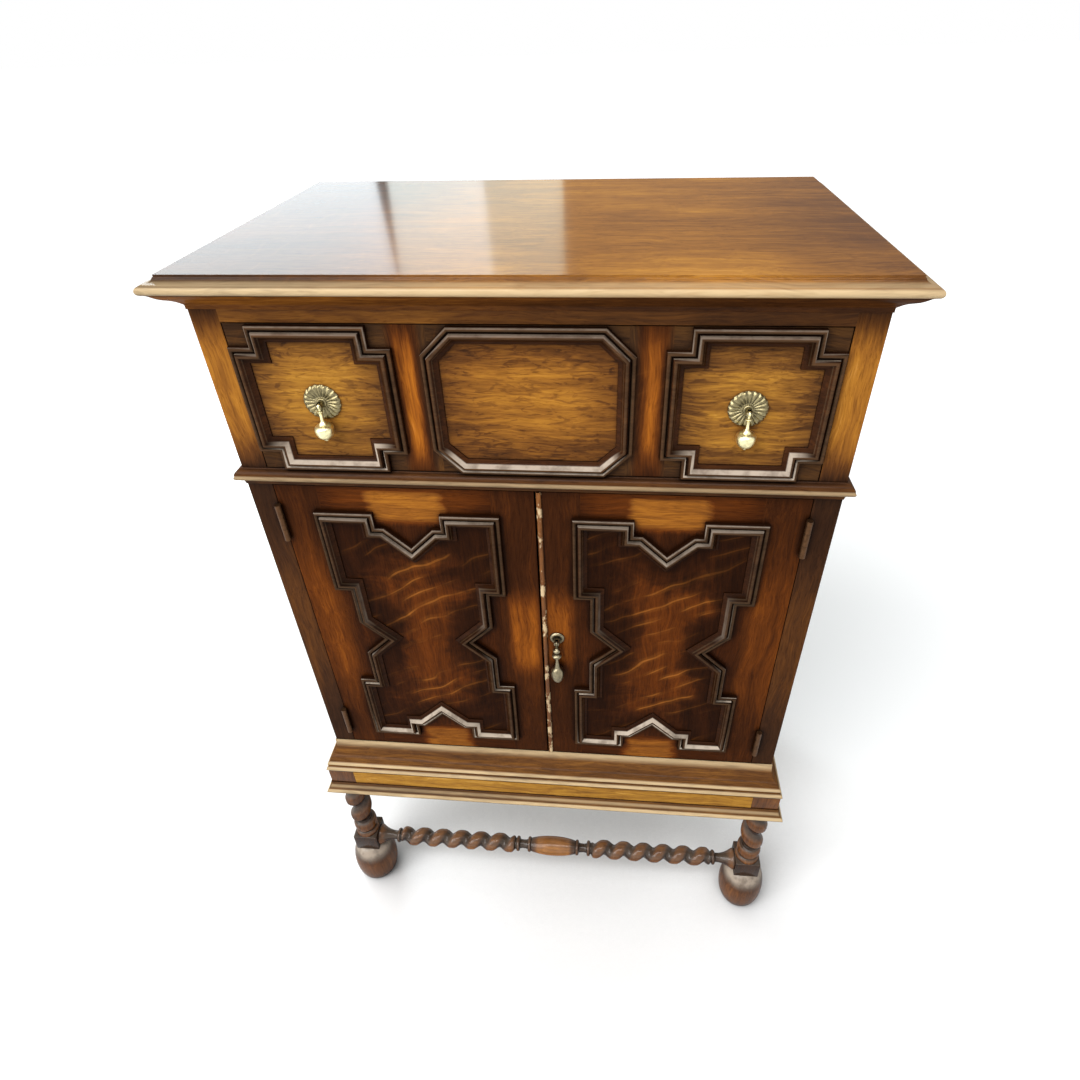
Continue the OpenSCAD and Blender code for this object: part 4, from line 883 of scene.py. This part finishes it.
stretcher = joined("turned_stretcher", lengths, (0, leg_forward, stretcher_up))
stand_in(stretcher, "front_stretcher", "carcass", stretcher_oak)


# Inside: dry oak that was never polished, paler than anything in front. Runners, kickers and
# bearers are fixed to the sides of the case, and the boards lie in grooves or on the bearers.
def bare(name, grain, shift, aged=0.55, tone=0.80):
    dry_wood = (0.40, 0.29, 0.17, 1)
    paint = oak(name, grain, tone, shine=0.05, rough=0.62, shift=shift, bold=0.9)
    tree = paint.node_tree
    shader = tree.nodes["Principled BSDF"]
    colour = shader.inputs["Base Color"].links[0].from_socket
    tree.links.new(mix_colour(tree, aged, colour, dry_wood), shader.inputs["Base Color"])
    return paint


dress("back_panel", bare("back_panel_wood", "z", shift=1.7, aged=0.35, tone=0.58))
dress("back_top_rail door_stop drawer_stops drawer_back", bare("cross_wood", "x", shift=4.3))
dress("drawer_runners drawer_kickers shelf_bearers drawer_sides", bare("runner_wood", "y", shift=2.7))
dress("bottom_board shelf drawer_bottom", bare("board_wood", "x", shift=8.1))


# Brass: cast and turned fittings with a toned polish, dark and greenish in the hollows and
# brighter where they are handled. The hinges are plain rolled brass, gone nearly black.
def brass(name, bright, patina, rough):
    paint = bpy.data.materials.new(name)
    paint.use_nodes = True
    tree = paint.node_tree
    shader = tree.nodes["Principled BSDF"]
    shade = add(tree, "ShaderNodeAmbientOcclusion", {"Distance": 0.004}, samples=6)
    open_part = smooth(tree, shade.outputs["AO"], 0.35, 0.95)
    stains = noise(tree, place(tree), (260, 260, 260), 3.0, 0.6)
    clean = times(tree, open_part, smooth(tree, stains, 0.30, 0.62, 0.55, 1.0))
    tree.links.new(mix_colour(tree, clean, patina, bright), shader.inputs["Base Color"])
    tree.links.new(calc(tree, "MULTIPLY_ADD", stains, 0.25, rough - 0.12), shader.inputs["Roughness"])
    bump = add(tree, "ShaderNodeBump", {"Height": stains, "Strength": 0.12, "Distance": 0.0004})
    tree.links.new(bump.outputs[0], shader.inputs["Normal"])
    shader.inputs["Metallic"].default_value = 1.0
    return paint


old_brass = brass("old_brass", (0.29, 0.245, 0.13, 1), (0.02, 0.017, 0.011, 1), rough=0.32)
drop_brass = brass("drop_brass", (0.95, 0.88, 0.52, 1), (0.40, 0.36, 0.20, 1), rough=0.34)
door_brass = brass("door_brass", (0.26, 0.22, 0.14, 1), (0.03, 0.027, 0.02, 1), rough=0.32)
hinge_brass = brass("hinge_brass", (0.11, 0.055, 0.026, 1), (0.035, 0.017, 0.009, 1), rough=0.5)
dress("left_door_bolt_case left_door_bolt", old_brass)
dress("post_hinge_leaves hinge_pins left_door_hinge_leaves right_door_hinge_leaves", hinge_brass)


# Drawer handles: a round plate pressed into radial flutes round a raised boss, an eared post
# with its pin, and a swinging pear drop. The stem goes through the drawer front to a nut.
def fluted_plate():
    rim = [(18.2, 0), (19, 0.9), (18.6, 2.1), (17.4, 3.2), (15.4, 3.8), (12.6, 3.4), (9.4, 2.8)]
    boss = [(6.8, 2.4), (6.0, 2.3), (5.4, 2.5), (5.1, 3.5), (4.3, 4.3), (3.6, 4.4)]
    flutes = 20
    press = 0.0011
    plate = turned(rim + boss, sides=160)
    spots = plate.data.vertices
    for off_valley, share in enumerate((1.0, 0.78, 0.34)):
        bpy.ops.object.mode_set(mode="EDIT")
        bpy.ops.mesh.select_all(action="DESELECT")
        bpy.ops.object.mode_set(mode="OBJECT")
        for spot in spots:
            reach = math.hypot(spot.co.x, spot.co.y)
            petal = (math.atan2(spot.co.y, spot.co.x) / math.tau * flutes) % 1
            hit = round(abs(petal - 0.5) * 8) == off_valley
            spot.select = hit and 0.0065 < reach and spot.co.z > 0.0014
        bpy.ops.object.mode_set(mode="EDIT")
        bpy.ops.transform.translate(value=(0, 0, -press * share))
        bpy.ops.transform.resize(value=(1 - 0.02 * share, 1 - 0.02 * share, 1), center_override=(0, 0, 0))
    bpy.ops.object.mode_set(mode="OBJECT")
    return plate


def eared_post(pivot):
    post = turned([(3.4, 1), (3.4, pivot + 1.6), (3.1, pivot + 2.2), (2.5, pivot + 2.5)], 32)
    bpy.ops.mesh.primitive_cube_add(size=1, location=(0, 0, 0.001 * (pivot + 0.5)))
    slot_cutter = bpy.context.object
    slot_cutter.scale = (0.0034, 0.010, 0.008)
    bpy.ops.object.select_all(action="DESELECT")
    post.select_set(True)
    bpy.context.view_layer.objects.active = post
    bpy.ops.object.modifier_add(type="BOOLEAN")
    post.modifiers[-1].object = slot_cutter
    bpy.ops.object.modifier_apply(modifier=post.modifiers[-1].name)
    bpy.data.objects.remove(slot_cutter)
    pin = turned([(0.7, -2.9), (0.9, -2.7), (0.9, 2.7), (0.7, 2.9)], 20)
    pin = joined("pin", [pin], (0, 0, 0.001 * pivot), (0, math.radians(90), 0))
    return [post, pin]


def nut(reach):
    ring = first_ring(0.005, 0.001 * reach, 6)
    bpy.ops.mesh.extrude_region_move(TRANSFORM_OT_translate={"value": (0, 0, -0.0024)})
    finish_turning()
    return ring


def eye():
    bpy.ops.object.select_all(action="DESELECT")
    bpy.ops.mesh.primitive_torus_add(
        major_segments=28, minor_segments=14, major_radius=0.00192, minor_radius=0.00078,
        rotation=(0, math.radians(90), 0),
    )
    ring = bpy.context.object
    ring.scale = (1, 1, 1.85)
    bpy.ops.object.transform_apply(location=False, rotation=True, scale=True)
    bpy.ops.object.shade_smooth()
    return ring


pear = [(1.2, -2.3), (1.35, -4.6), (2.5, -5.0), (3.1, -5.4), (3.1, -6.0), (2.5, -6.6), (1.8, -7.4)]
pear += [(1.6, -9), (1.55, -12), (1.6, -14), (1.9, -16.5), (3.0, -17.7), (3.9, -18.6)]
pear += arc_points(0, -24.8, 9.6, 5.4, 62, 6, 7) + arc_points(3.264, -24.8, 6.336, 11, 0, -88, 11)
pear += [(2.4, -37.8), (1.9, -38.5), (1.2, -38.9), (0.4, -39)]
upright = (math.radians(90), 0, 0)
drawer_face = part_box("drawer_front")[0].y
for side, hand in ((-1, "left"), (1, "right")):
    across = side * handle_across
    plate_node = hand + "_handle_plate"
    drop_node = hand + "_drop"
    parts = [fluted_plate()] + eared_post(pivot=10.7)
    parts += [turned([(2, 0), (2, -23.8)], sides=20), nut(reach=-20.8)]
    plate = joined("fluted_" + plate_node, parts, (across, drawer_face, drawer_mid), upright)
    stand_in(plate, plate_node, "drawer", old_brass)
    drop_at = (across, middle(drop_node).y, drawer_mid)
    drop = joined("pear_" + drop_node, [turned(pear, sides=40), eye()], drop_at)
    stand_in(drop, drop_node, drop_node, drop_brass)


# Door handle: the same kind of post on a small domed brass plate, with a longer turned drop. Its
# stem goes through the right door's inner stile to a nut.
door_handle = middle("door_handle_plate")
long_drop = [(1.2, -2.3), (1.3, -4.6), (2.4, -5.0), (2.2, -5.8), (1.7, -6.4), (1.6, -9), (2.6, -10.2)]
long_drop += arc_points(2.4, -12.8, 2.6, 2.6, 70, -70, 10) + [(1.9, -16.2), (1.9, -18.4), (3.4, -18.9)]
long_drop += [(4.9, -19.7), (6.1, -20.7), (6.3, -21.6), (5.9, -22.8), (4.8, -23.5), (3.4, -24.1)]
long_drop += [(2.3, -25.6), (1.9, -28), (1.85, -31), (2.1, -35), (2.6, -38)]
long_drop += arc_points(0, -55, 8.5, 12, 64, 8, 7) + arc_points(2.38, -55, 6.12, 15, 0, -88, 11)
long_drop += [(2.0, -71), (1.3, -71.7), (0.4, -72)]
dome = [(8.4, 0), (9.0, 0.4), (9.2, 1.0), (8.7, 1.8), (7.3, 2.7), (5.8, 2.5), (4.4, 1.5), (3.5, 1.4)]
parts = [turned(dome, sides=64)] + eared_post(pivot=9.4)
parts += [turned([(2, 0), (2, -23)], sides=20), nut(reach=-20)]
plate = joined("domed_plate", parts, (door_handle.x, front_face, door_handle.z), upright)
stand_in(plate, "door_handle_plate", "right_door", door_brass)
drop_at = (door_handle.x, middle("door_drop").y, door_handle.z)
drop = joined("long_drop", [turned(long_drop, sides=40), eye()], drop_at)
stand_in(drop, "door_drop", "door_drop", door_brass)
